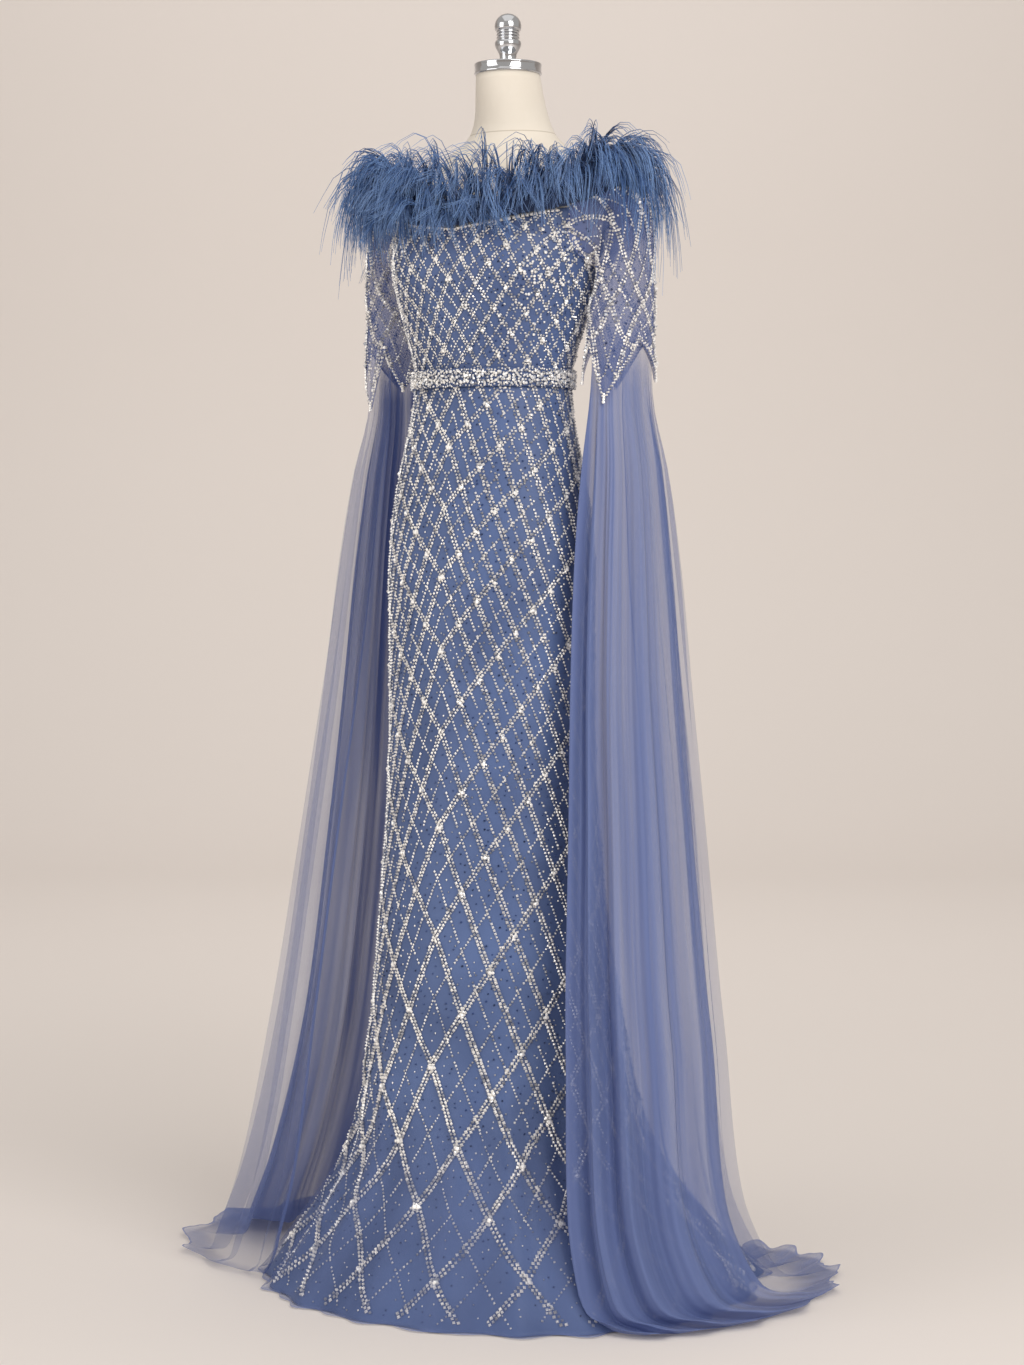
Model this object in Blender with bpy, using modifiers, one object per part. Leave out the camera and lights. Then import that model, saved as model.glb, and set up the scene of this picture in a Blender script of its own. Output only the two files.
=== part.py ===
"""Off-shoulder beaded gown with cape sleeves, standing on a limbless dress form.

Metres, +Z up. The gown's front faces -Y and the wearer's left is +X. The origin is the centre of
the underside of the stand's base, on the axis of the pole, the neck and the finial.
"""
import math
from collections import namedtuple

import bmesh
import bpy
from mathutils import Vector

# Driving dimensions
CLOTH = 0.0015            # beaded tulle on satin, bodice and skirt
TULLE = 0.0012            # sleeves and cape panels
SKIN_GAP = 0.0012         # form to the cloth on it
SEAM_GAP = 0.0003         # one cut piece to the next
SEAM_ANGLE = 0.09         # half a seam's gap as an angle round the body
WAIST_Z = 1.200
BELT_HEIGHT = 0.024
BELT_THICKNESS = 0.0046
BELT_GAP = 0.0018
TORSO_BOTTOM = 0.800
NECK_TOP = 1.606
CAP_HEIGHT = 0.0155
POLE_RADIUS = 0.014
BASE_HEIGHT = 0.015
BASE_RADIUS = 0.170
BUST_Z = 1.345
BUST_LIFT = 0.012         # how far each cup of the bodice stands forward
BUST_SPREAD = 0.046
BUST_ANGLE = 30.0
BUST_WIDTH = 24.0
ARMHOLE_Z = 1.402
ARMHOLE_HALF_HEIGHT = 0.056
ARMHOLE_HALF_ANGLE = 28.0
ARMHOLE_CUT = 0.86        # the bodice's cut edge, as a share of the sleeve's first ring

# Horizontal sections. front and back are the depths before and behind centre_y.
Section = namedtuple("Section", "z half_width front back centre_y")

FORM = (
    Section(0.800, 0.106, 0.086, 0.084, -0.040),
    Section(0.825, 0.126, 0.102, 0.100, -0.040),
    Section(0.870, 0.134, 0.109, 0.108, -0.040),
    Section(0.930, 0.137, 0.111, 0.111, -0.040),
    Section(0.990, 0.135, 0.109, 0.108, -0.040),
    Section(1.050, 0.128, 0.103, 0.101, -0.040),
    Section(1.110, 0.117, 0.095, 0.092, -0.039),
    Section(1.160, 0.108, 0.087, 0.084, -0.037),
    Section(1.200, 0.105, 0.084, 0.081, -0.035),
    Section(1.240, 0.113, 0.087, 0.083, -0.033),
    Section(1.290, 0.130, 0.098, 0.087, -0.029),
    Section(1.335, 0.1405, 0.109, 0.091, -0.024),
    Section(1.375, 0.146, 0.110, 0.094, -0.019),
    Section(1.415, 0.147, 0.103, 0.095, -0.013),
    Section(1.450, 0.139, 0.089, 0.089, -0.007),
    Section(1.480, 0.117, 0.077, 0.075, 0.002),
    Section(1.505, 0.086, 0.063, 0.062, 0.008),
    Section(1.525, 0.063, 0.052, 0.054, 0.011),
    Section(1.550, 0.0515, 0.0490, 0.0505, 0.009),
    Section(1.578, 0.0470, 0.0465, 0.0470, 0.004),
    Section(1.606, 0.0440, 0.0440, 0.0440, 0.0),
)

# Heights of the rings of the form's torso, close together where the bodice lies on it.
TORSO_RINGS = (TORSO_BOTTOM, 0.812, 0.840, 0.900, 0.980, 1.060, 1.120, 1.165, 1.200, 1.235, 1.270,
               1.305, 1.340, 1.375, 1.410, 1.445, 1.475, 1.500, 1.522, 1.550, 1.575, NECK_TOP)
BODY_COLUMNS = 40
FORM_EASE = 0.0016        # how much smaller the form is than the bodice over the bust
FORM_EASE_START = 1.195
FORM_EASE_RISE = 0.05     # the height over which the ease grows to its full size
HIP_EASE = 0.0026         # how far the skirt stands off the form at the hips

# The skirt leaves the form at the hips and flares to the floor.
SKIRT = (
    Section(0.0020, 0.318, 0.276, 0.372, -0.016),
    Section(0.0120, 0.308, 0.266, 0.352, -0.016),
    Section(0.0350, 0.290, 0.247, 0.318, -0.020),
    Section(0.0700, 0.264, 0.222, 0.281, -0.024),
    Section(0.1150, 0.233, 0.192, 0.244, -0.028),
    Section(0.1700, 0.201, 0.167, 0.211, -0.031),
    Section(0.2400, 0.181, 0.151, 0.186, -0.034),
    Section(0.3300, 0.170, 0.142, 0.166, -0.036),
    Section(0.4300, 0.161, 0.134, 0.149, -0.038),
    Section(0.5400, 0.151, 0.126, 0.134, -0.040),
    Section(0.6500, 0.1435, 0.119, 0.123, -0.040),
    Section(0.7600, 0.1405, 0.116, 0.117, -0.040),
    Section(0.8600, 0.1405, 0.1155, 0.115, -0.040),
    Section(0.9300, 0.1410, 0.1150, 0.115, -0.040),
)

# Heights of the rings of the skirt's wall.
SKIRT_RINGS = (0.002, 0.025, 0.062, 0.110, 0.170, 0.250, 0.370, 0.530, 0.720, 0.880, 0.985,
               1.065, 1.125, 1.170, WAIST_Z - SEAM_GAP / 2.0)
SKIRT_COLUMNS = 26
BODICE_ROWS = 8

# Soft folds of the skirt: where the ridge runs, how wide it is, how far it stands out at the
# hem, and how high up it starts.
Fold = namedtuple("Fold", "angle spread depth reach")

SKIRT_FOLDS = (
    Fold(-171.0, 6.0, 0.012, 0.36),
    Fold(-153.0, 6.5, 0.016, 0.46),
    Fold(-134.0, 6.0, 0.013, 0.34),
    Fold(-116.0, 6.5, 0.014, 0.42),
    Fold(-96.0, 7.0, 0.010, 0.30),
    Fold(-76.0, 6.0, 0.013, 0.40),
    Fold(-57.0, 5.5, 0.016, 0.50),
    Fold(-41.0, 5.5, 0.014, 0.36),
    Fold(-24.0, 6.5, 0.014, 0.44),
    Fold(-6.0, 6.0, 0.012, 0.38),
    Fold(14.0, 6.5, 0.018, 0.48),
    Fold(36.0, 6.5, 0.020, 0.56),
    Fold(58.0, 6.5, 0.018, 0.50),
    Fold(80.0, 7.0, 0.022, 0.60),
    Fold(103.0, 7.0, 0.020, 0.56),
    Fold(126.0, 6.5, 0.020, 0.50),
    Fold(148.0, 6.5, 0.017, 0.46),
    Fold(169.0, 6.0, 0.014, 0.40),
)

# The bodice's upper edge: how high it is, by the angle away from the centre front or back.
Edge = namedtuple("Edge", "away z")

FRONT_NECKLINE = (Edge(0.0, 1.393), Edge(25.0, 1.402), Edge(50.0, 1.414), Edge(90.0, 1.424))
BACK_NECKLINE = (Edge(0.0, 1.402), Edge(30.0, 1.406), Edge(60.0, 1.414), Edge(90.0, 1.424))

# Sleeve rings, from the armhole to the hem. tilt turns the ring from upright to level.
SleeveRing = namedtuple("SleeveRing", "down x z half_out half_depth tilt")

SLEEVE = (
    SleeveRing(0.00, 0.158, 1.405, 0.056, 0.046, 80.0),
    SleeveRing(0.22, 0.1790, 1.387, 0.047, 0.049, 55.0),
    SleeveRing(0.42, 0.1815, 1.337, 0.032, 0.050, 20.0),
    SleeveRing(0.68, 0.1770, 1.290, 0.035, 0.054, 0.0),
    SleeveRing(1.00, 0.1720, 1.240, 0.041, 0.058, 0.0),
)
ARMHOLE_BLEND = 0.24      # the share of the sleeve that turns from the armhole to the rings
SLEEVE_HEM_START = 0.68
SLEEVE_COLUMNS = 24
SLEEVE_ROWS = 7
HEM_TURN = 105.0          # the angle of the first valley, before the front

# Points and valleys of the pointed sleeve hem: 0 is outward, 90 is to the back.
HemPoint = namedtuple("HemPoint", "angle z")

SLEEVE_HEM = (
    HemPoint(-105.0, 1.238),
    HemPoint(-75.0, 1.164),
    HemPoint(-15.0, 1.247),
    HemPoint(45.0, 1.196),
    HemPoint(90.0, 1.245),
    HemPoint(135.0, 1.188),
    HemPoint(180.0, 1.236),
    HemPoint(225.0, 1.190),
    HemPoint(255.0, 1.238),
)

# Cape panel rings, from the sleeve hem to the train on the floor. start and end are the angles
# of the front and the back edge, 0 is outward. wave is the depth of the folds sideways, lift
# their height where the cloth lies on the floor.
CapeRing = namedtuple("CapeRing", "down x y half_width half_depth z start end wave lift")

CAPE_TOP = (
    CapeRing(0.000, 0.1755, 0.000, 0.0339, 0.0526, 1.262, -118.0, 128.0, 0.0, 0.0),
    CapeRing(0.058, 0.1735, 0.000, 0.0365, 0.0540, 1.172, -116.0, 128.0, 0.0010, 0.0),
    CapeRing(0.118, 0.1790, -0.003, 0.0470, 0.0690, 1.080, -113.0, 128.0, 0.0045, 0.0),
    CapeRing(0.200, 0.1860, -0.008, 0.0550, 0.0840, 0.950, -115.0, 128.0, 0.0070, 0.0),
    CapeRing(0.300, 0.1940, -0.013, 0.0600, 0.1000, 0.800, -114.0, 126.0, 0.0085, 0.0),
    CapeRing(0.410, 0.2060, -0.020, 0.0660, 0.1160, 0.630, -112.0, 126.0, 0.0100, 0.0),
    CapeRing(0.580, 0.2260, -0.037, 0.0780, 0.1330, 0.360, -110.0, 126.0, 0.0120, 0.0),
)
CAPE_TRAIN_LEFT = (
    CapeRing(0.730, 0.2380, -0.036, 0.0900, 0.1440, 0.140, -107.0, 118.0, 0.0140, 0.0),
    CapeRing(0.800, 0.2520, -0.014, 0.1130, 0.1720, 0.036, -100.0, 112.0, 0.0130, 0.004),
    CapeRing(0.870, 0.2380, 0.030, 0.1520, 0.2180, 0.0040, -80.0, 106.0, 0.0110, 0.010),
    CapeRing(1.000, 0.2150, 0.060, 0.2000, 0.2850, 0.0026, -58.0, 100.0, 0.0080, 0.006),
)
CAPE_TRAIN_RIGHT = (
    CapeRing(0.730, 0.2560, -0.038, 0.1030, 0.1480, 0.140, -108.0, 118.0, 0.0140, 0.0),
    CapeRing(0.800, 0.2780, -0.020, 0.1380, 0.1680, 0.036, -102.0, 112.0, 0.0130, 0.004),
    CapeRing(0.870, 0.2780, 0.030, 0.1960, 0.2080, 0.0040, -94.0, 106.0, 0.0110, 0.010),
    CapeRing(1.000, 0.2680, 0.085, 0.2860, 0.2650, 0.0026, -92.0, 100.0, 0.0080, 0.006),
)
CAPE_COLUMNS = 38
CAPE_ROWS = (0.0, 0.058, 0.118, 0.200, 0.300, 0.410, 0.520, 0.620, 0.700, 0.760, 0.810, 0.870,
             0.935, 1.0)
CAPE_CLEAR = 0.011        # least distance from the cape to the skirt where it flares
CAPE_CLEAR_TOP = 0.005
CAPE_CLEAR_Z = 0.5        # the height below which the distance grows
CAPE_FOLDS = 8.5
CAPE_FOLD_DRIFT = 0.35

# How far the feather collar's strip rises over the sleeve's cap, by the angle from the side.
CapRise = namedtuple("CapRise", "side rise out")

COLLAR_RISE = (
    CapRise(0.0, 0.043, 0.016),
    CapRise(10.0, 0.041, 0.014),
    CapRise(20.0, 0.032, 0.008),
    CapRise(26.0, 0.021, 0.004),
    CapRise(34.0, 0.006, 0.001),
    CapRise(42.0, 0.000, 0.000),
    CapRise(90.0, 0.000, 0.000),
)
STRIP_HEIGHT = 0.024
STRIP_THICKNESS = 0.003
STRIP_SEAT = 0.0010
STRIP_OUT = 0.0012        # how far the strip stands out from the line of the bodice's edge
LOCK_COLUMNS = 40

# Locks of feather by the row of the strip that they grow from, bottom to top: how far out and
# how far up each of a lock's three stretches goes, at the front and back, and at the shoulders.
LockRow = namedtuple("LockRow", "out1 up1 out2 up2 out3 up3")

FRONT_LOCKS = (
    LockRow(0.018, -0.004, 0.018, -0.012, 0.008, -0.016),
    LockRow(0.018, 0.010, 0.022, 0.010, 0.018, -0.006),
    LockRow(0.010, 0.032, 0.015, 0.036, 0.020, 0.014),
)
SHOULDER_LOCKS = (
    LockRow(0.031, 0.002, 0.029, -0.044, 0.012, -0.078),
    LockRow(0.030, 0.009, 0.034, -0.012, 0.018, -0.036),
    LockRow(0.016, 0.018, 0.028, 0.014, 0.030, 0.000),
)
LOCK_TAPER = (0.60, 0.42, 0.10)
LOCK_SWAY = 0.005
LOCK_SWAY_TURN = 1.731    # radians from one lock's sideways sway to the next
LOCK_LENGTH = 0.14        # how much the locks differ in length
LOCK_LENGTH_TURN = 2.399
SHOULDER_ANGLE = 62.0     # from the side, where the shoulder's longer locks end


def smooth_step(value):
    """Nought to one, level at both ends."""
    value = min(max(value, 0.0), 1.0)
    return value * value * (3.0 - 2.0 * value)


def slope_at(rows, index, field):
    """The slope of one column of a table at one of its rows, level where the column turns."""
    before = rows[max(index - 1, 0)]
    after = rows[min(index + 1, len(rows) - 1)]
    here = rows[index]
    inside = 0 < index < len(rows) - 1
    if inside and (here[field] - before[field]) * (after[field] - here[field]) <= 0.0:
        return 0.0
    return (after[field] - before[field]) / (after[0] - before[0])


def row_at(rows, key):
    """The row for any key, on a smooth curve through the rows of a table."""
    key = min(max(key, rows[0][0]), rows[-1][0])
    low = 0
    while low < len(rows) - 2 and rows[low + 1][0] < key:
        low += 1
    first, second = rows[low], rows[low + 1]
    span = second[0] - first[0]
    t = (key - first[0]) / span
    values = [key]
    for field in range(1, len(first)):
        start = first[field]
        rise = second[field] - start
        leave = slope_at(rows, low, field) * span
        arrive = slope_at(rows, low + 1, field) * span
        curve = start + leave * t + (3.0 * rise - 2.0 * leave - arrive) * t * t
        values.append(curve + (leave + arrive - 2.0 * rise) * t ** 3)
    return type(first)(*values)


def straight_row(rows, key):
    """The second column of a table, on straight lines between its rows."""
    for first, second in zip(rows, rows[1:]):
        if key <= second[0]:
            share = (key - first[0]) / (second[0] - first[0])
            return first[1] + (second[1] - first[1]) * share
    return rows[-1][1]


def section_point(row, angle, outward=0.0):
    """A point of a horizontal section; angle 0 is the wearer's left, -90 degrees the front."""
    depth = row.front if math.sin(angle) < 0.0 else row.back
    x = (row.half_width + outward) * math.cos(angle)
    y = row.centre_y + (depth + outward) * math.sin(angle)
    return Vector((x, y, row.z))


def cup(angle, z):
    """How far the two cups stand forward of the plain section."""
    height = math.exp(-((z - BUST_Z) / BUST_SPREAD) ** 2)
    from_front = math.degrees(angle) + 90.0
    left = math.exp(-((from_front - BUST_ANGLE) / BUST_WIDTH) ** 2)
    right = math.exp(-((from_front + BUST_ANGLE) / BUST_WIDTH) ** 2)
    return BUST_LIFT * height * (left + right)


def signed_angle(degrees):
    """The same angle in radians, from -180 to 180 degrees."""
    return math.radians((degrees + 180.0) % 360.0 - 180.0)


def body_point(degrees, z, outward=0.0):
    """A point on the form, moved outward."""
    angle = signed_angle(degrees)
    return section_point(row_at(FORM, z), angle, outward + cup(angle, z))


def skirt_fold(degrees, z):
    """How far the skirt's folds stand out here."""
    total = 0.0
    for fold in SKIRT_FOLDS:
        away = (degrees - fold.angle + 180.0) % 360.0 - 180.0
        rise = smooth_step(1.0 - z / fold.reach)
        total += fold.depth * rise * math.exp(-(away / fold.spread) ** 2)
    return total


def skirt_point(degrees, z):
    """A point in the middle of the skirt's wall."""
    outward = SKIN_GAP + CLOTH / 2.0
    hip = SKIRT[-1].z
    if z >= hip:
        lift = HIP_EASE * smooth_step((WAIST_Z - z) / (WAIST_Z - hip))
        return body_point(degrees, z, outward + lift)
    return section_point(row_at(SKIRT, z), signed_angle(degrees), skirt_fold(degrees, z))


def away_from_side(degrees):
    """The angle between a point of the bodice and the nearer side seam."""
    return 90.0 - abs(90.0 - abs(signed_angle(degrees)) * 180.0 / math.pi)


def bodice_top(degrees):
    """How high the bodice is cut at this angle: neckline, and armhole at the sides."""
    side = away_from_side(degrees)
    table = FRONT_NECKLINE if signed_angle(degrees) < 0.0 else BACK_NECKLINE
    neckline = straight_row(table, 90.0 - side)
    reach = side / (ARMHOLE_HALF_ANGLE * ARMHOLE_CUT)
    if reach >= 1.0:
        return neckline
    drop = ARMHOLE_HALF_HEIGHT * ARMHOLE_CUT * math.sqrt(1.0 - reach * reach)
    return min(neckline, ARMHOLE_Z - drop)


def new_object(name, shape, finish, modifiers=()):
    """One named object of the gown from a bmesh, shaded smooth."""
    mesh = bpy.data.meshes.new(name)
    shape.to_mesh(mesh)
    shape.free()
    mesh.shade_smooth()
    mesh.materials.append(finish)
    thing = bpy.data.objects.new(name, mesh)
    PARTS.objects.link(thing)
    for kind, settings in modifiers:
        modifier = thing.modifiers.new(kind.title(), kind)
        for key, value in settings.items():
            setattr(modifier, key, value)
    return thing


def grid(place, columns, rows, closed=False):
    """An open sheet of quads; place(u, v) puts each point. A closed sheet is joined at u = 0."""
    shape = bmesh.new()
    bmesh.ops.create_grid(shape, x_segments=columns, y_segments=rows, size=0.5)
    for vert in shape.verts:
        vert.co = place(vert.co.x + 0.5, vert.co.y + 0.5)
    if closed:
        bmesh.ops.remove_doubles(shape, verts=shape.verts, dist=0.00001)
    return shape


def wall(thickness, even):
    """A Solidify that thickens a sheet equally to both sides."""
    return ("SOLIDIFY", {"thickness": thickness, "offset": 0.0, "use_even_offset": even})


def cloth(name, place, columns, rows, thickness, finish, closed=False, even=True):
    """A cut piece of cloth with a wall of the given thickness."""
    shape = grid(place, columns, rows, closed)
    return new_object(name, shape, finish, (wall(thickness, even),))


def turned(name, profile, finish, steps, z):
    """A turned piece from a profile of (radius, height) rows, top to bottom."""
    shape = bmesh.new()
    verts = [shape.verts.new((radius, 0.0, height)) for radius, height in profile]
    for first, second in zip(verts, verts[1:]):
        shape.edges.new((first, second))
    screw = ("SCREW", {
        "steps": steps, "render_steps": steps, "use_merge_vertices": True,
        "merge_threshold": 0.0001, "use_smooth_shade": True,
    })
    thing = new_object(name, shape, finish, (screw,))
    thing.location = (0.0, 0.0, z)
    return thing


def finish(name, colour, roughness, metallic=0.0):
    """A plain Principled material."""
    material = bpy.data.materials.new(name)
    material.use_nodes = True
    shader = material.node_tree.nodes["Principled BSDF"]
    shader.inputs["Base Color"].default_value = (*colour, 1.0)
    shader.inputs["Roughness"].default_value = roughness
    shader.inputs["Metallic"].default_value = metallic
    return material


def build_form():
    """The limbless form: torso and neck in one, chrome cap and finial, pole and base."""
    canvas = finish("form_canvas", (0.86, 0.82, 0.74), 0.75)
    chrome = finish("form_chrome", (0.75, 0.76, 0.78), 0.12, 1.0)
    steel = finish("stand_steel", (0.62, 0.63, 0.65), 0.3, 1.0)

    rings = len(TORSO_RINGS) - 1

    def torso_place(u, v):
        z = TORSO_RINGS[round(v * rings)]
        ease = FORM_EASE * smooth_step((z - FORM_EASE_START) / FORM_EASE_RISE)
        return body_point(-180.0 + 360.0 * u, z, -ease)

    torso = grid(torso_place, BODY_COLUMNS, rings, closed=True)
    rims = [edge for edge in torso.edges if edge.is_boundary]
    bmesh.ops.holes_fill(torso, edges=rims, sides=0)
    bmesh.ops.recalc_face_normals(torso, faces=torso.faces)
    new_object("form_torso", torso, canvas)

    cap = ((0.0, CAP_HEIGHT), (0.030, CAP_HEIGHT), (0.0425, CAP_HEIGHT - 0.0012),
           (0.0448, CAP_HEIGHT - 0.004), (0.0448, 0.0015), (0.0440, 0.0), (0.0, 0.0))
    turned("form_cap", cap, chrome, 24, NECK_TOP + SEAM_GAP)
    finial = ((0.0, 0.0650), (0.0070, 0.0635), (0.0130, 0.0590), (0.0170, 0.0520),
              (0.0178, 0.0465), (0.0140, 0.0430), (0.0155, 0.0405), (0.0125, 0.0380),
              (0.0150, 0.0355), (0.0125, 0.0330), (0.0172, 0.0290), (0.0172, 0.0225),
              (0.0110, 0.0100), (0.0110, 0.0), (0.0, 0.0))
    turned("form_finial", finial, chrome, 16, NECK_TOP + CAP_HEIGHT + 2.0 * SEAM_GAP)

    base = ((0.0, BASE_HEIGHT), (0.040, BASE_HEIGHT), (0.160, 0.008), (BASE_RADIUS, 0.005),
            (BASE_RADIUS, 0.0), (0.0, 0.0))
    turned("form_base", base, steel, 32, 0.0)
    pole_bottom = BASE_HEIGHT + SEAM_GAP
    pole_top = TORSO_BOTTOM - SEAM_GAP
    pole = ((0.0, pole_top - pole_bottom), (POLE_RADIUS, pole_top - pole_bottom),
            (POLE_RADIUS, 0.0), (0.0, 0.0))
    turned("form_pole", pole, steel, 16, pole_bottom)


def build_bodice(satin):
    """Front and two backs, from the waist seam to the neckline."""
    bottom = WAIST_Z + SEAM_GAP / 2.0
    outward = SKIN_GAP + CLOTH / 2.0

    def panel(start, end):
        def place(u, v):
            degrees = start + SEAM_ANGLE + (end - start - 2.0 * SEAM_ANGLE) * u
            return body_point(degrees, bottom + (bodice_top(degrees) - bottom) * v, outward)
        return place

    columns = BODY_COLUMNS // 4
    cloth("bodice_front", panel(-180.0, 0.0), 2 * columns, BODICE_ROWS, CLOTH, satin)
    cloth("bodice_back_left", panel(0.0, 90.0), columns, BODICE_ROWS, CLOTH, satin)
    cloth("bodice_back_right", panel(90.0, 180.0), columns, BODICE_ROWS, CLOTH, satin)


def build_skirt(satin):
    """Front and back, from the waist seam to the floor."""
    rings = len(SKIRT_RINGS) - 1

    def panel(start, end):
        def place(u, v):
            degrees = start + SEAM_ANGLE + (end - start - 2.0 * SEAM_ANGLE) * u
            return skirt_point(degrees, SKIRT_RINGS[round(v * rings)])
        return place

    cloth("skirt_front", panel(-180.0, 0.0), SKIRT_COLUMNS, rings, CLOTH, satin)
    cloth("skirt_back", panel(0.0, 180.0), SKIRT_COLUMNS, rings, CLOTH, satin)


def build_belt(beads):
    """The beaded band over the waist seam, all round."""
    bottom = WAIST_Z - BELT_HEIGHT / 2.0
    outward = SKIN_GAP + CLOTH + BELT_GAP + BELT_THICKNESS / 2.0

    def place(u, v):
        return body_point(-180.0 + 360.0 * u, bottom + BELT_HEIGHT * v, outward)

    cloth("belt", place, BODY_COLUMNS, 2, BELT_THICKNESS, beads, closed=True)


def armhole_point(degrees, outward):
    """A point of the armhole, drawn on the form: 0 is at the shoulder, 90 to the back."""
    turn = math.radians(degrees)
    z = ARMHOLE_Z + ARMHOLE_HALF_HEIGHT * math.cos(turn)
    return body_point(ARMHOLE_HALF_ANGLE * math.sin(turn), z, outward)


def sleeve_hem(degrees):
    """How high the sleeve's pointed hem is at this angle."""
    return straight_row(SLEEVE_HEM, (degrees + HEM_TURN) % 360.0 - HEM_TURN)


def sleeve_point(degrees, down):
    """A point in the middle of the left sleeve's wall."""
    ring = row_at(SLEEVE, down)
    turn = math.radians(degrees)
    tilt = math.radians(ring.tilt)
    out = ring.half_out * math.cos(turn)
    z = ring.z
    if down > SLEEVE_HEM_START:
        start = row_at(SLEEVE, SLEEVE_HEM_START).z
        share = (down - SLEEVE_HEM_START) / (1.0 - SLEEVE_HEM_START)
        z = start + (sleeve_hem(degrees) - start) * share
    point = Vector((
        ring.x + out * math.cos(tilt),
        ring.half_depth * math.sin(turn),
        z + out * math.sin(tilt),
    ))
    on_armhole = armhole_point(degrees, SKIN_GAP + CLOTH + SEAM_GAP + TULLE)
    return on_armhole.lerp(point, smooth_step(down / ARMHOLE_BLEND))


def outside_skirt(point):
    """The same point, moved level and outward where it would come too near the skirt."""
    row = row_at(SKIRT, point.z)
    if point.z >= SKIRT[-1].z:
        return point
    from_centre = Vector((point.x, point.y - row.centre_y, 0.0))
    depth = row.front if from_centre.y < 0.0 else row.back
    angle = math.atan2(from_centre.y / depth, from_centre.x / row.half_width)
    skirt = section_point(row, angle, skirt_fold(math.degrees(angle), point.z))
    limit = math.hypot(skirt.x, skirt.y - row.centre_y)
    low = smooth_step(1.0 - point.z / CAPE_CLEAR_Z)
    margin = CAPE_CLEAR_TOP + (CAPE_CLEAR - CAPE_CLEAR_TOP) * low
    beyond = from_centre.length - limit - margin
    if beyond >= margin:
        return point
    eased = margin * math.exp(beyond / margin - 1.0)
    return point + from_centre.normalized() * (eased - beyond)


def cape_point(rings, u, down):
    """A point in the middle of the left cape panel's wall; u runs from front to back edge."""
    ring = row_at(rings, down)
    turn = math.radians(ring.start + (ring.end - ring.start) * u)
    phase = 2.0 * math.pi * (CAPE_FOLDS * u + CAPE_FOLD_DRIFT * math.sin(2.0 * math.pi * u))
    fold = math.sin(phase)
    outward = ring.wave * fold
    return outside_skirt(Vector((
        ring.x + (ring.half_width + outward) * math.cos(turn),
        ring.y + (ring.half_depth + outward) * math.sin(turn),
        ring.z + ring.lift * (1.0 + fold) / 2.0,
    )))


def build_sleeves_and_capes(tulle):
    """Both sleeves and both cape panels; the right ones are the left ones mirrored."""
    for side, name in ((1.0, "left"), (-1.0, "right")):
        train = CAPE_TRAIN_LEFT if side > 0.0 else CAPE_TRAIN_RIGHT
        rings = CAPE_TOP + train

        def sleeve_place(u, v, side=side):
            point = sleeve_point(360.0 * u - HEM_TURN, 1.0 - v)
            return Vector((side * point.x, point.y, point.z))

        def cape_place(u, v, side=side, rings=rings):
            point = cape_point(rings, u, CAPE_ROWS[round((1.0 - v) * (len(CAPE_ROWS) - 1))])
            return Vector((side * point.x, point.y, point.z))

        cloth("sleeve_" + name, sleeve_place, SLEEVE_COLUMNS, SLEEVE_ROWS, TULLE, tulle,
              closed=True)
        rows = len(CAPE_ROWS) - 1
        cloth("cape_" + name, cape_place, CAPE_COLUMNS, rows, TULLE, tulle, even=False)


def collar_point(degrees):
    """The middle of the backing strip's lower edge."""
    side = away_from_side(degrees)
    table = FRONT_NECKLINE if signed_angle(degrees) < 0.0 else BACK_NECKLINE
    rise = row_at(COLLAR_RISE, side)
    z = straight_row(table, 90.0 - side)
    point = body_point(degrees, z, SKIN_GAP + CLOTH / 2.0 + STRIP_OUT + rise.out)
    point.z = z + rise.rise + STRIP_SEAT
    return point


def collar_outward(degrees):
    """The level direction that points away from the strip."""
    along = collar_point(degrees + 1.0) - collar_point(degrees - 1.0)
    return Vector((along.y, -along.x, 0.0)).normalized()


def grow_lock(shape, face, degrees, row, number):
    """Grow one lock of feather out of a face of the strip, in three tapering stretches."""
    shoulder = smooth_step(1.0 - away_from_side(degrees) / SHOULDER_ANGLE)
    front, side = FRONT_LOCKS[row], SHOULDER_LOCKS[row]
    reach = [a + (b - a) * shoulder for a, b in zip(front, side)]
    length = 1.0 + LOCK_LENGTH * math.sin(number * LOCK_LENGTH_TURN)
    outward = collar_outward(degrees)
    sway = LOCK_SWAY * math.sin(number * LOCK_SWAY_TURN)
    sideways = Vector((-outward.y, outward.x, 0.0)) * sway
    for step, taper in enumerate(LOCK_TAPER):
        face = bmesh.ops.extrude_discrete_faces(shape, faces=[face])["faces"][0]
        move = (outward * reach[2 * step] + Vector((0.0, 0.0, reach[2 * step + 1]))) * length
        before = LOCK_TAPER[step - 1] if step else 1.0
        centre = face.calc_center_median()
        for vert in face.verts:
            vert.co = centre + (vert.co - centre) * (taper / before) + move + sideways


def build_collar(feather):
    """The feather collar: a narrow strip all round, with a lock grown out of each outer face."""
    half = STRIP_THICKNESS / 2.0
    locks = len(FRONT_LOCKS)
    section = [(half, STRIP_HEIGHT * level / locks) for level in range(locks + 1)]
    section += [(-half, STRIP_HEIGHT), (-half, 0.0)]

    def place(u, v):
        degrees = -180.0 + 360.0 * u
        out, up = section[round(v * len(section)) % len(section)]
        return collar_point(degrees) + collar_outward(degrees) * out + Vector((0.0, 0.0, up))

    shape = grid(place, LOCK_COLUMNS, len(section), closed=True)
    roots = list(shape.faces)[:LOCK_COLUMNS * locks]
    for number, face in enumerate(roots):
        degrees = -180.0 + 360.0 * (number % LOCK_COLUMNS + 0.5) / LOCK_COLUMNS
        grow_lock(shape, face, degrees, number // LOCK_COLUMNS, number)
    bmesh.ops.recalc_face_normals(shape, faces=shape.faces)
    new_object("feather_collar", shape, feather)


def clear_scene():
    """Remove what a new file starts with."""
    for thing in list(bpy.data.objects):
        bpy.data.objects.remove(thing, do_unlink=True)


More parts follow.
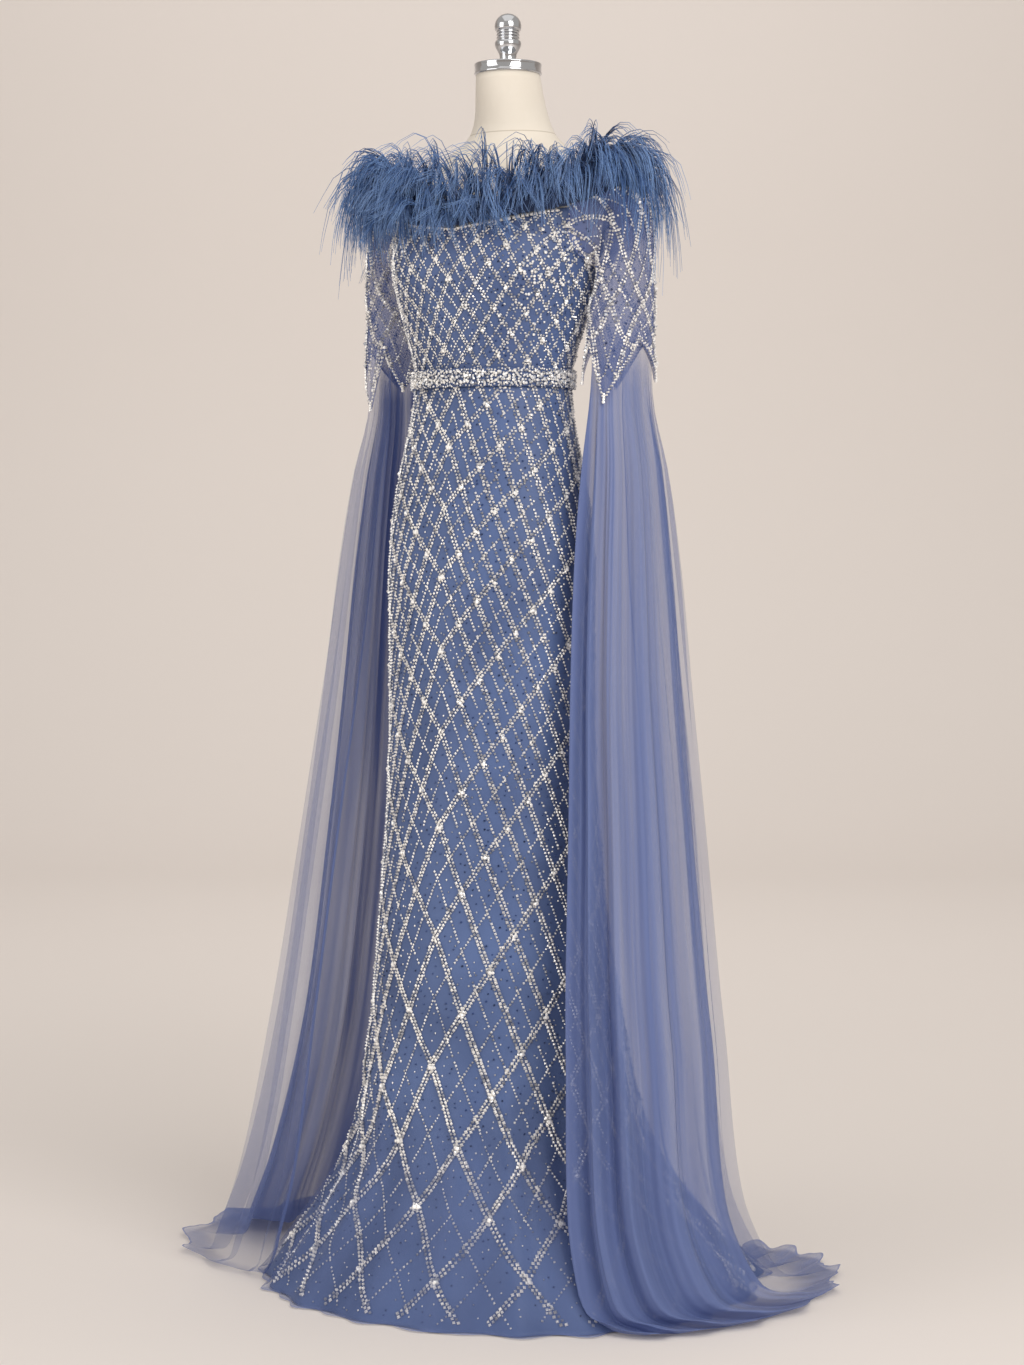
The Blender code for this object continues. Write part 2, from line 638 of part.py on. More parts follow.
clear_scene()
PARTS = bpy.data.collections.new("feather_collar_gown")
bpy.context.scene.collection.children.link(PARTS)

SATIN = finish("gown_satin", (0.20, 0.31, 0.52), 0.5)
TULLE_FINISH = finish("cape_tulle", (0.32, 0.38, 0.60), 0.7)
BEADS = finish("belt_beads", (0.72, 0.72, 0.72), 0.3, 0.6)
FEATHER = finish("collar_feather", (0.16, 0.27, 0.45), 0.8)

build_form()
build_bodice(SATIN)
build_skirt(SATIN)
build_belt(BEADS)
build_sleeves_and_capes(TULLE_FINISH)
build_collar(FEATHER)
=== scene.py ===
"""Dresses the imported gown: off-shoulder bodice and column skirt with a beaded lattice, a
feather collar, beaded sleeves with long cape panels, on a limbless dress form.

Metres, +Z up. The front faces -Y and the wearer's left is +X.
"""
import sys
import bisect
import logging
import math
import random
from collections import namedtuple
from dataclasses import dataclass, field
from enum import Enum
from typing import Callable, Iterator, Sequence, Union

import bmesh
import bpy
import numpy as np
from mathutils import Matrix, Vector, noise


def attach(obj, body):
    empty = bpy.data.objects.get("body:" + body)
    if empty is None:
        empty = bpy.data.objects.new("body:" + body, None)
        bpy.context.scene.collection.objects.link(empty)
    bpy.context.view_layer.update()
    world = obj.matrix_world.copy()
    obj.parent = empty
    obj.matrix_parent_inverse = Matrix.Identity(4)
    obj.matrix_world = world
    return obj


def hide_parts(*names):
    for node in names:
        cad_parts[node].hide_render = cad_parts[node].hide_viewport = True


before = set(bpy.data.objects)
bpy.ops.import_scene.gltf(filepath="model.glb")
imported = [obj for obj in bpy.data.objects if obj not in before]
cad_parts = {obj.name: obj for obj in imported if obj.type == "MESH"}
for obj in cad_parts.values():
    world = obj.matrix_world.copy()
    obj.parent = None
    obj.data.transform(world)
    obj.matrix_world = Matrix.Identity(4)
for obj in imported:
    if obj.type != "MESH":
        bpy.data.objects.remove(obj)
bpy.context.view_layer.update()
LOG = logging.getLogger("gown")

Place = Callable[[float, float], Vector]
Socket = bpy.types.NodeSocket
Value = Union[Socket, float, tuple]
Colour = tuple[float, float, float, float]

TINY = 0.00001

# The part's own sections and tables, as its source gives them.
CLOTH = 0.0015
TULLE = 0.0012
SKIN_GAP = 0.0012
SEAM_GAP = 0.0003
SEAM_ANGLE = 0.09
WAIST_Z = 1.200
BELT_HEIGHT = 0.024
BELT_THICKNESS = 0.0046
BELT_GAP = 0.0018
TORSO_BOTTOM = 0.800
NECK_TOP = 1.606
CAP_HEIGHT = 0.0155
BUST_Z = 1.345
BUST_LIFT = 0.012
BUST_SPREAD = 0.046
BUST_ANGLE = 30.0
BUST_WIDTH = 24.0
ARMHOLE_Z = 1.402
ARMHOLE_HALF_HEIGHT = 0.056
ARMHOLE_HALF_ANGLE = 28.0
ARMHOLE_CUT = 0.86
FORM_EASE = 0.0016
FORM_EASE_START = 1.195
FORM_EASE_RISE = 0.05
HIP_EASE = 0.0026
ARMHOLE_BLEND = 0.24
SLEEVE_HEM_START = 0.68
HEM_TURN = 105.0
CAPE_CLEAR = 0.011
CAPE_CLEAR_TOP = 0.005
CAPE_CLEAR_Z = 0.5

Section = namedtuple("Section", "z half_width front back centre_y")
Fold = namedtuple("Fold", "angle spread depth reach")
Edge = namedtuple("Edge", "away z")
SleeveRing = namedtuple("SleeveRing", "down x z half_out half_depth tilt")
CapeRing = namedtuple("CapeRing", "down x y half_width half_depth z start end wave lift")
CapRise = namedtuple("CapRise", "side rise out")
Reading = namedtuple("Reading", "z value")
Density = namedtuple("Density", "front change start over train")


def rows_of(kind: type, *rows: tuple) -> tuple:
    """Rows of numbers as rows of one kind."""
    return tuple(kind(*row) for row in rows)


FORM = rows_of(Section,
    (0.800, 0.106, 0.086, 0.084, -0.040),
    (0.825, 0.126, 0.102, 0.100, -0.040),
    (0.870, 0.134, 0.109, 0.108, -0.040),
    (0.930, 0.137, 0.111, 0.111, -0.040),
    (0.990, 0.135, 0.109, 0.108, -0.040),
    (1.050, 0.128, 0.103, 0.101, -0.040),
    (1.110, 0.117, 0.095, 0.092, -0.039),
    (1.160, 0.108, 0.087, 0.084, -0.037),
    (1.200, 0.105, 0.084, 0.081, -0.035),
    (1.240, 0.113, 0.087, 0.083, -0.033),
    (1.290, 0.130, 0.098, 0.087, -0.029),
    (1.335, 0.1405, 0.109, 0.091, -0.024),
    (1.375, 0.146, 0.110, 0.094, -0.019),
    (1.415, 0.147, 0.103, 0.095, -0.013),
    (1.450, 0.139, 0.089, 0.089, -0.007),
    (1.480, 0.117, 0.077, 0.075, 0.002),
    (1.505, 0.086, 0.063, 0.062, 0.008),
    (1.525, 0.063, 0.052, 0.054, 0.011),
    (1.550, 0.0515, 0.0490, 0.0505, 0.009),
    (1.578, 0.0470, 0.0465, 0.0470, 0.004),
    (1.606, 0.0440, 0.0440, 0.0440, 0.0),
)
SKIRT = rows_of(Section,
    (0.0020, 0.318, 0.276, 0.372, -0.016),
    (0.0120, 0.308, 0.266, 0.352, -0.016),
    (0.0350, 0.290, 0.247, 0.318, -0.020),
    (0.0700, 0.264, 0.222, 0.281, -0.024),
    (0.1150, 0.233, 0.192, 0.244, -0.028),
    (0.1700, 0.201, 0.167, 0.211, -0.031),
    (0.2400, 0.181, 0.151, 0.186, -0.034),
    (0.3300, 0.170, 0.142, 0.166, -0.036),
    (0.4300, 0.161, 0.134, 0.149, -0.038),
    (0.5400, 0.151, 0.126, 0.134, -0.040),
    (0.6500, 0.1435, 0.119, 0.123, -0.040),
    (0.7600, 0.1405, 0.116, 0.117, -0.040),
    (0.8600, 0.1405, 0.1155, 0.115, -0.040),
    (0.9300, 0.1410, 0.1150, 0.115, -0.040),
)
SKIRT_FOLDS = rows_of(Fold,
    (-171.0, 6.0, 0.012, 0.36), (-153.0, 6.5, 0.016, 0.46),
    (-134.0, 6.0, 0.013, 0.34), (-116.0, 6.5, 0.014, 0.42),
    (-96.0, 7.0, 0.010, 0.30), (-76.0, 6.0, 0.013, 0.40),
    (-57.0, 5.5, 0.016, 0.50), (-41.0, 5.5, 0.014, 0.36),
    (-24.0, 6.5, 0.014, 0.44), (-6.0, 6.0, 0.012, 0.38),
    (14.0, 6.5, 0.018, 0.48), (36.0, 6.5, 0.020, 0.56),
    (58.0, 6.5, 0.018, 0.50), (80.0, 7.0, 0.022, 0.60),
    (103.0, 7.0, 0.020, 0.56), (126.0, 6.5, 0.020, 0.50),
    (148.0, 6.5, 0.017, 0.46), (169.0, 6.0, 0.014, 0.40),
)
FRONT_NECKLINE = rows_of(Edge, (0.0, 1.393), (25.0, 1.402), (50.0, 1.414), (90.0, 1.424))
BACK_NECKLINE = rows_of(Edge, (0.0, 1.402), (30.0, 1.406), (60.0, 1.414), (90.0, 1.424))
SLEEVE = rows_of(SleeveRing,
    (0.00, 0.158, 1.405, 0.056, 0.046, 80.0),
    (0.22, 0.1790, 1.387, 0.047, 0.049, 55.0),
    (0.42, 0.1815, 1.337, 0.032, 0.050, 20.0),
    (0.68, 0.1770, 1.290, 0.035, 0.054, 0.0),
    (1.00, 0.1720, 1.240, 0.041, 0.058, 0.0),
)
SLEEVE_HEM = rows_of(Edge,
    (-105.0, 1.238), (-75.0, 1.164), (-15.0, 1.247), (45.0, 1.196),
    (90.0, 1.245), (135.0, 1.188), (180.0, 1.236), (225.0, 1.190),
    (255.0, 1.238),
)
CAPE_TOP = rows_of(CapeRing,
    (0.000, 0.1755, 0.000, 0.0339, 0.0526, 1.262, -118.0, 128.0, 0.0, 0.0),
    (0.058, 0.1735, 0.000, 0.0365, 0.0540, 1.172, -116.0, 128.0, 0.0010, 0.0),
    (0.118, 0.1790, -0.003, 0.0470, 0.0690, 1.080, -113.0, 128.0, 0.0045, 0.0),
    (0.200, 0.1860, -0.008, 0.0550, 0.0840, 0.950, -115.0, 128.0, 0.0070, 0.0),
    (0.300, 0.1940, -0.013, 0.0600, 0.1000, 0.800, -114.0, 126.0, 0.0085, 0.0),
    (0.410, 0.2060, -0.020, 0.0660, 0.1160, 0.630, -112.0, 126.0, 0.0100, 0.0),
    (0.580, 0.2260, -0.037, 0.0780, 0.1330, 0.360, -110.0, 126.0, 0.0120, 0.0),
)
CAPE_TRAIN_LEFT = rows_of(CapeRing,
    (0.730, 0.2380, -0.036, 0.0900, 0.1440, 0.140, -107.0, 118.0, 0.0140, 0.0),
    (0.800, 0.2520, -0.014, 0.1130, 0.1720, 0.036, -100.0, 112.0, 0.0130, 0.004),
    (0.870, 0.2380, 0.030, 0.1520, 0.2180, 0.0040, -80.0, 106.0, 0.0110, 0.010),
    (1.000, 0.2150, 0.060, 0.2000, 0.2850, 0.0026, -58.0, 100.0, 0.0080, 0.006),
)
CAPE_TRAIN_RIGHT = rows_of(CapeRing,
    (0.730, 0.2560, -0.038, 0.1030, 0.1480, 0.140, -108.0, 118.0, 0.0140, 0.0),
    (0.800, 0.2780, -0.020, 0.1380, 0.1680, 0.036, -102.0, 112.0, 0.0130, 0.004),
    (0.870, 0.2780, 0.030, 0.1960, 0.2080, 0.0040, -94.0, 106.0, 0.0110, 0.010),
    (1.000, 0.2680, 0.085, 0.2860, 0.2650, 0.0026, -92.0, 100.0, 0.0080, 0.006),
)
# How dense a panel's tulle is: at its front edge, how that changes across it, and on the floor.
LEFT_TULLE = Density(0.86, -0.68, 0.40, 0.26, 0.62)
RIGHT_TULLE = Density(0.16, 0.76, 0.32, 0.24, 0.42)
COLLAR_RISE = rows_of(CapRise,
    (0.0, 0.043, 0.016), (10.0, 0.041, 0.014), (20.0, 0.032, 0.008),
    (26.0, 0.021, 0.004), (34.0, 0.006, 0.001), (42.0, 0.0, 0.0),
    (90.0, 0.0, 0.0),
)
STRIP_SEAT = 0.0010
STRIP_OUT = 0.0012
STRIP_HEIGHT = 0.024


def smooth_step(value: float) -> float:
    """Nought to one, level at both ends."""
    value = min(max(value, 0.0), 1.0)
    return value * value * (3.0 - 2.0 * value)


def slope_at(rows: Sequence, index: int, column: int) -> float:
    """The slope of one column of a table at one of its rows.

    Args:
        rows: the table, by rising key.
        index: the row.
        column: the column.

    Returns:
        The slope, level where the column turns.
    """
    before = rows[max(index - 1, 0)]
    after = rows[min(index + 1, len(rows) - 1)]
    here = rows[index]
    inside = 0 < index < len(rows) - 1
    if inside and (here[column] - before[column]) * (after[column] - here[column]) <= 0.0:
        return 0.0
    return (after[column] - before[column]) / (after[0] - before[0])


def row_at(rows: Sequence, key: float) -> tuple:
    """The row for any key, on a smooth curve through the rows of a table.

    Args:
        rows: the table, by rising key.
        key: the value of the first column.

    Returns:
        A row of the table's own type.
    """
    key = min(max(key, rows[0][0]), rows[-1][0])
    low = 0
    while low < len(rows) - 2 and rows[low + 1][0] < key:
        low += 1
    first, second = rows[low], rows[low + 1]
    span = second[0] - first[0]
    t = (key - first[0]) / span
    values = [key]
    for column in range(1, len(first)):
        start = first[column]
        rise = second[column] - start
        leave = slope_at(rows, low, column) * span
        arrive = slope_at(rows, low + 1, column) * span
        curve = start + leave * t + (3.0 * rise - 2.0 * leave - arrive) * t * t
        values.append(curve + (leave + arrive - 2.0 * rise) * t ** 3)
    return type(first)(*values)


def straight_row(rows: Sequence, key: float) -> float:
    """The second column of a table, on straight lines between its rows."""
    for first, second in zip(rows, rows[1:]):
        if key <= second[0]:
            share = (key - first[0]) / (second[0] - first[0])
            return first[1] + (second[1] - first[1]) * share
    return rows[-1][1]


def section_point(row: Section, angle: float, outward: float = 0.0) -> Vector:
    """A point of a level section; angle 0 is the wearer's left, -90 degrees the front."""
    depth = row.front if math.sin(angle) < 0.0 else row.back
    x = (row.half_width + outward) * math.cos(angle)
    y = row.centre_y + (depth + outward) * math.sin(angle)
    return Vector((x, y, row.z))


def cup(angle: float, z: float) -> float:
    """How far the two cups stand forward of the plain section."""
    height = math.exp(-((z - BUST_Z) / BUST_SPREAD) ** 2)
    from_front = math.degrees(angle) + 90.0
    left = math.exp(-((from_front - BUST_ANGLE) / BUST_WIDTH) ** 2)
    right = math.exp(-((from_front + BUST_ANGLE) / BUST_WIDTH) ** 2)
    return BUST_LIFT * height * (left + right)


def signed_angle(degrees: float) -> float:
    """The same angle in radians, from -180 to 180 degrees."""
    return math.radians((degrees + 180.0) % 360.0 - 180.0)


def body_point(degrees: float, z: float, outward: float = 0.0) -> Vector:
    """A point on the form, moved outward."""
    angle = signed_angle(degrees)
    return section_point(row_at(FORM, z), angle, outward + cup(angle, z))


def skirt_fold(degrees: float, z: float) -> float:
    """How far the skirt's folds stand out here."""
    total = 0.0
    for fold in SKIRT_FOLDS:
        away = (degrees - fold.angle + 180.0) % 360.0 - 180.0
        rise = smooth_step(1.0 - z / fold.reach)
        total += fold.depth * rise * math.exp(-(away / fold.spread) ** 2)
    return total


def skirt_point(degrees: float, z: float, outward: float = 0.0) -> Vector:
    """A point in the middle of the skirt's wall, moved outward."""
    hip = SKIRT[-1].z
    if z >= hip:
        lift = HIP_EASE * smooth_step((WAIST_Z - z) / (WAIST_Z - hip))
        return body_point(degrees, z, SKIN_GAP + CLOTH / 2.0 + lift + outward)
    fold = skirt_fold(degrees, z)
    return section_point(row_at(SKIRT, z), signed_angle(degrees), fold + outward)


def away_from_side(degrees: float) -> float:
    """The angle between a point of the bodice and the nearer side seam."""
    return 90.0 - abs(90.0 - abs(signed_angle(degrees)) * 180.0 / math.pi)


def neckline(degrees: float) -> float:
    """The height of the neckline, shoulders included."""
    table = FRONT_NECKLINE if signed_angle(degrees) < 0.0 else BACK_NECKLINE
    return straight_row(table, 90.0 - away_from_side(degrees))


def bodice_top(degrees: float) -> float:
    """How high the bodice is cut at this angle: neckline, and armhole at the sides."""
    reach = away_from_side(degrees) / (ARMHOLE_HALF_ANGLE * ARMHOLE_CUT)
    if reach >= 1.0:
        return neckline(degrees)
    drop = ARMHOLE_HALF_HEIGHT * ARMHOLE_CUT * math.sqrt(1.0 - reach * reach)
    return min(neckline(degrees), ARMHOLE_Z - drop)


def armhole_point(degrees: float, outward: float) -> Vector:
    """A point of the armhole, drawn on the form: 0 is at the shoulder, 90 to the back."""
    turn = math.radians(degrees)
    z = ARMHOLE_Z + ARMHOLE_HALF_HEIGHT * math.cos(turn)
    return body_point(ARMHOLE_HALF_ANGLE * math.sin(turn), z, outward)


def sleeve_hem(degrees: float) -> float:
    """How high the sleeve's pointed hem is at this angle."""
    return straight_row(SLEEVE_HEM, (degrees + HEM_TURN) % 360.0 - HEM_TURN)


def sleeve_point(degrees: float, down: float, outward: float = 0.0) -> Vector:
    """A point in the middle of the left sleeve's wall.

    Args:
        degrees: the way round, 0 outward and 90 to the back.
        down: 0 at the armhole, 1 at the hem.
        outward: how far off the wall.

    Returns:
        The point, in metres.
    """
    ring = row_at(SLEEVE, down)
    turn, tilt = math.radians(degrees), math.radians(ring.tilt)
    out = (ring.half_out + outward) * math.cos(turn)
    z = ring.z
    if down > SLEEVE_HEM_START:
        start = row_at(SLEEVE, SLEEVE_HEM_START).z
        share = (down - SLEEVE_HEM_START) / (1.0 - SLEEVE_HEM_START)
        z = start + (sleeve_hem(degrees) - start) * share
    point = Vector((
        ring.x + out * math.cos(tilt),
        (ring.half_depth + outward) * math.sin(turn),
        z + out * math.sin(tilt),
    ))
    on_armhole = armhole_point(degrees, SKIN_GAP + CLOTH + SEAM_GAP + TULLE + outward)
    return on_armhole.lerp(point, smooth_step(down / ARMHOLE_BLEND))


def outside_skirt(point: Vector) -> Vector:
    """The same point, moved level and outward where it would come too near the skirt."""
    row = row_at(SKIRT, point.z)
    if point.z >= SKIRT[-1].z:
        return point
    from_centre = Vector((point.x, point.y - row.centre_y, 0.0))
    depth = row.front if from_centre.y < 0.0 else row.back
    angle = math.atan2(from_centre.y / depth, from_centre.x / row.half_width)
    skirt = section_point(row, angle, skirt_fold(math.degrees(angle), point.z))
    limit = math.hypot(skirt.x, skirt.y - row.centre_y)
    low = smooth_step(1.0 - point.z / CAPE_CLEAR_Z)
    margin = CAPE_CLEAR_TOP + (CAPE_CLEAR - CAPE_CLEAR_TOP) * low
    beyond = from_centre.length - limit - margin
    if beyond >= margin:
        return point
    eased = margin * math.exp(beyond / margin - 1.0)
    return point + from_centre.normalized() * (eased - beyond)


def collar_point(degrees: float) -> Vector:
    """The middle of the feather strip's lower edge."""
    rise = row_at(COLLAR_RISE, away_from_side(degrees))
    z = neckline(degrees)
    point = body_point(degrees, z, SKIN_GAP + CLOTH / 2.0 + STRIP_OUT + rise.out)
    point.z = z + rise.rise + STRIP_SEAT
    return point


def collar_outward(degrees: float) -> Vector:
    """The level direction that points away from the strip."""
    along = collar_point(degrees + 1.0) - collar_point(degrees - 1.0)
    return Vector((along.y, -along.x, 0.0)).normalized()


def srgb(red: int, green: int, blue: int) -> Colour:
    """A colour from its screen values, as the shaders want it."""
    def linear(value: int) -> float:
        """One channel without the screen's curve."""
        share = value / 255.0
        return share / 12.92 if share <= 0.04045 else ((share + 0.055) / 1.055) ** 2.4
    return (linear(red), linear(green), linear(blue), 1.0)


class Recipe:
    """A material being put together: its node tree and its Principled shader."""

    def __init__(self, name: str, **sockets) -> None:
        """Start a material; sockets are the shader's own, with _ for a space."""
        self.material = bpy.data.materials.new(name)
        self.material.use_nodes = True
        self.tree = self.material.node_tree
        self.shader = self.tree.nodes["Principled BSDF"]
        for key, value in sockets.items():
            self.feed(self.shader.inputs[key.replace("_", " ")], value)

    def feed(self, socket: Socket, value: Value) -> None:
        """Link a socket to another one, or set its value."""
        if isinstance(value, Socket):
            self.tree.links.new(value, socket)
        else:
            socket.default_value = value

    def shade(self, name: str, value: Value) -> None:
        """Feed one of the shader's own sockets."""
        self.feed(self.shader.inputs[name], value)

    def add(self, kind: str, inputs: dict | None = None, **settings) -> bpy.types.Node:
        """Add a node.

        Args:
            kind: the node's type without its ShaderNode.
            inputs: values or sockets for its inputs, by name or number.
            settings: the node's own settings.

        Returns:
            The node.
        """
        node = self.tree.nodes.new("ShaderNode" + kind)
        for key, value in settings.items():
            setattr(node, key, value)
        for key, value in (inputs or {}).items():
            self.feed(node.inputs[key], value)
        return node

    def place(self, layer: str = "", turn: float = 0.0) -> Socket:
        """Coordinates in metres: the object's own, or a layer of the piece's map, turned."""
        if layer:
            source = self.add("UVMap", uv_map=layer).outputs["UV"]
        else:
            source = self.add("TexCoord").outputs["Object"]
        moved = self.add("Mapping", {"Vector": source,
                                     "Rotation": (0.0, 0.0, math.radians(turn))})
        return moved.outputs["Vector"]

    def grain(self, where: Socket, scale: float, detail: float = 3.0,
              rough: float = 0.55) -> Socket:
        """Soft noise of the given scale, as a factor."""
        inputs = {"Vector": where, "Scale": scale, "Detail": detail, "Roughness": rough}
        return self.add("TexNoise", inputs).outputs["Fac"]

    def threads(self, scale: float, turn: float = 0.0) -> Socket:
        """Parallel threads in the cloth, turned from its X axis, as a factor."""
        inputs = {"Vector": self.place("cloth", turn), "Scale": scale, "Detail": 1.0}
        return self.add("TexWave", inputs, wave_type="BANDS").outputs["Fac"]

    def sum(self, first: Value, second: Value, how: str = "ADD") -> Socket:
        """Two factors put together."""
        return self.add("Math", {0: first, 1: second}, operation=how).outputs[0]

    def between(self, factor: Value, low: float, high: float, start: float = 0.0,
                end: float = 1.0) -> Socket:
        """A factor moved from the range start to end into the range low to high."""
        inputs = {"Value": factor, "From Min": start, "From Max": end, "To Min": low,
                  "To Max": high}
        return self.add("MapRange", inputs).outputs["Result"]

    def blend(self, factor: Value, first: Value, second: Value) -> Socket:
        """A colour between two, by a factor."""
        node = self.add("Mix", data_type="RGBA")
        for number, value in ((0, factor), (6, first), (7, second)):
            self.feed(node.inputs[number], value)
        return node.outputs[2]

    def bump(self, height: Socket, strength: float, distance: float) -> None:
        """Raise the surface by a factor, on top of an earlier bump if there is one."""
        inputs = {"Height": height, "Strength": strength, "Distance": distance}
        if self.shader.inputs["Normal"].is_linked:
            inputs["Normal"] = self.shader.inputs["Normal"].links[0].from_socket
        self.shade("Normal", self.add("Bump", inputs).outputs["Normal"])

    def own(self, name: str) -> Socket:
        """A value that the piece's mesh carries: for each bead or barb, or across the net."""
        return self.add("Attribute", attribute_name=name).outputs["Fac"]


@dataclass(frozen=True)
class Satin:
    """Blue satin under fine net: a soft twill, with slow changes of shade."""

    name: str = "gown_satin"
    deep: Colour = srgb(54, 73, 114)
    light: Colour = srgb(80, 102, 148)
    net: Colour = srgb(130, 144, 188)
    net_share: float = 0.16
    net_threads: float = 260.0
    twill: float = 900.0
    twill_turn: float = 30.0
    smoothest: float = 0.40
    roughest: float = 0.56
    changes: float = 7.0
    dimples: float = 34.0

    def material(self) -> bpy.types.Material:
        """Build the material."""
        mix = Recipe(self.name, Sheen_Weight=0.10, Sheen_Roughness=0.4, Specular_IOR_Level=0.3)
        cloth = mix.place("cloth")
        slow = mix.grain(mix.place(), self.changes)
        net = mix.sum(mix.threads(self.net_threads, 45.0), mix.threads(self.net_threads, -45.0),
                      "MAXIMUM")
        shade = mix.blend(mix.between(slow, 0.0, 1.0, 0.3, 0.7), self.deep, self.light)
        mix.shade("Base Color", mix.blend(mix.between(net, 0.0, self.net_share), shade,
                                          self.net))
        mix.shade("Roughness", mix.between(mix.grain(cloth, 60.0), self.smoothest,
                                           self.roughest))
        mix.bump(mix.threads(self.twill, self.twill_turn), 0.12, 0.0002)
        mix.bump(mix.grain(cloth, self.dimples, 2.0), 0.25, 0.0012)
        return mix.material


@dataclass(frozen=True)
class Net:
    """Sheer tulle: crossed threads with open holes, paler where it is thin."""

    name: str = "cape_tulle"
    colour: Colour = srgb(80, 94, 134)
    pale: Colour = srgb(108, 120, 160)
    lit: Colour = srgb(84, 102, 172)
    glow: float = 0.12
    threads: float = 700.0
    turn: float = 32.0
    streaks: tuple = (15.0, 0.8, 1.0)
    thinnest: float = 0.74
    densest: float = 1.18

    def material(self) -> bpy.types.Material:
        """Build the material; a faint glow stands for the light that net lets through."""
        mix = Recipe(self.name, Roughness=0.7, Sheen_Weight=0.04, Sheen_Roughness=0.5,
                     Specular_IOR_Level=0.15, Emission_Color=self.lit,
                     Emission_Strength=self.glow)
        net = mix.sum(mix.threads(self.threads, self.turn), mix.threads(self.threads, -self.turn),
                      "MAXIMUM")
        drawn = mix.add("Mapping", {"Vector": mix.place("cloth"), "Scale": self.streaks})
        streak = mix.grain(drawn.outputs["Vector"], 1.0, 3.0, 0.6)
        mix.shade("Base Color", mix.blend(streak, self.colour, self.pale))
        uneven = mix.between(streak, self.thinnest, self.densest, 0.3, 0.7)
        gather = mix.sum(mix.own("gather"), uneven, "MULTIPLY")
        mix.shade("Alpha", mix.sum(gather, mix.between(net, 0.92, 1.08), "MULTIPLY"))
        mix.bump(net, 0.05, 0.0002)
        return mix.material


@dataclass(frozen=True)
class Glint:
    """Glass and metal beads; each bead carries a tint of its own."""

    name: str
    dark: Colour
    bright: Colour
    metallic: float
    roughness: float
    duller: float = 0.14

    def material(self) -> bpy.types.Material:
        """Build the material."""
        mix = Recipe(self.name, Metallic=self.metallic, Specular_IOR_Level=0.8)
        tint = mix.own("tint")
        mix.shade("Base Color", mix.blend(mix.between(tint, 0.0, 1.0, 0.0, 0.6), self.dark,
                                          self.bright))
        mix.shade("Roughness", mix.between(tint, self.roughness + self.duller,
                                           self.roughness))
        return mix.material


@dataclass(frozen=True)
class Plume:
    """Dyed ostrich feather: dark at the root, paler at the tip, each barb a little different."""

    name: str = "collar_feather"
    # The down behind the barbs also wears this root colour, as painted shade in the collar's core.
    root: Colour = srgb(28, 46, 80)
    middle: Colour = srgb(64, 99, 154)
    tip: Colour = srgb(120, 153, 202)
    darker: float = -0.36
    paler: float = 0.30

    def material(self) -> bpy.types.Material:
        """Build the material."""
        mix = Recipe(self.name, Roughness=0.62, Sheen_Weight=0.2, Sheen_Roughness=0.45,
                     Specular_IOR_Level=0.3)
        along = mix.sum(mix.own("along"), mix.between(mix.own("tint"), self.darker, self.paler))
        lower = mix.blend(mix.between(along, 0.0, 1.0, 0.0, 0.5), self.root, self.middle)
        full = mix.blend(mix.between(along, 0.0, 1.0, 0.5, 1.0), lower, self.tip)
        mix.shade("Base Color", full)
        mix.bump(mix.grain(mix.place(), 900.0), 0.2, 0.0003)
        return mix.material


@dataclass(frozen=True)
class Canvas:
    """The form's cream cloth cover: a fine plain weave and a seam round the neck's base."""

    name: str = "form_canvas"
    colour: Colour = srgb(233, 225, 213)
    shade: Colour = srgb(220, 210, 195)
    thread: Colour = srgb(150, 132, 106)
    seam_z: float = 1.5270
    seam_width: float = 0.0011
    weave: float = 520.0

    def material(self) -> bpy.types.Material:
        """Build the material."""
        mix = Recipe(self.name, Roughness=0.78, Sheen_Weight=0.15, Specular_IOR_Level=0.25)
        where = mix.place()
        height = mix.add("SeparateXYZ", {"Vector": where}).outputs["Z"]
        off = mix.sum(height, self.seam_z, "SUBTRACT")
        seam = mix.between(mix.sum(off, 0.0, "ABSOLUTE"), 1.0, 0.0, 0.0, self.seam_width)
        weave = mix.sum(mix.threads(self.weave), mix.threads(self.weave, 90.0), "MULTIPLY")
        plain = mix.blend(mix.grain(where, 14.0, 4.0), self.colour, self.shade)
        mix.shade("Base Color", mix.blend(mix.between(seam, 0.0, 0.55), plain, self.thread))
        mix.bump(weave, 0.20, 0.0003)
        mix.bump(seam, -0.6, 0.0010)
        return mix.material


@dataclass(frozen=True)
class Metal:
    """Polished or brushed metal with faint handling marks."""

    name: str
    colour: Colour
    polished: float
    worn: float
    brush: float = 0.0
    handled: Colour = srgb(178, 180, 184)

    def material(self) -> bpy.types.Material:
        """Build the material."""
        mix = Recipe(self.name, Metallic=1.0)
        marks = mix.grain(mix.place(), 60.0, 5.0, 0.65)
        mix.shade("Base Color", mix.blend(mix.between(marks, 0.0, 0.25), self.colour,
                                          self.handled))
        mix.shade("Roughness", mix.between(marks, self.polished, self.worn, 0.35, 0.75))
        mix.bump(mix.grain(mix.place(), 900.0, 2.0), 0.02 + self.brush, 0.0002)
        return mix.material


@dataclass(frozen=True)
class Paper:
    """The studio's pale seamless backdrop."""

    name: str = "studio_paper"
    colour: Colour = srgb(231, 224, 219)
    shade: Colour = srgb(224, 216, 210)

    def material(self) -> bpy.types.Material:
        """Build the material."""
        mix = Recipe(self.name, Roughness=0.85, Specular_IOR_Level=0.2)
        tone = mix.grain(mix.place(), 0.6)
        mix.shade("Base Color", mix.blend(mix.between(tone, 0.0, 0.3), self.colour, self.shade))
        return mix.material


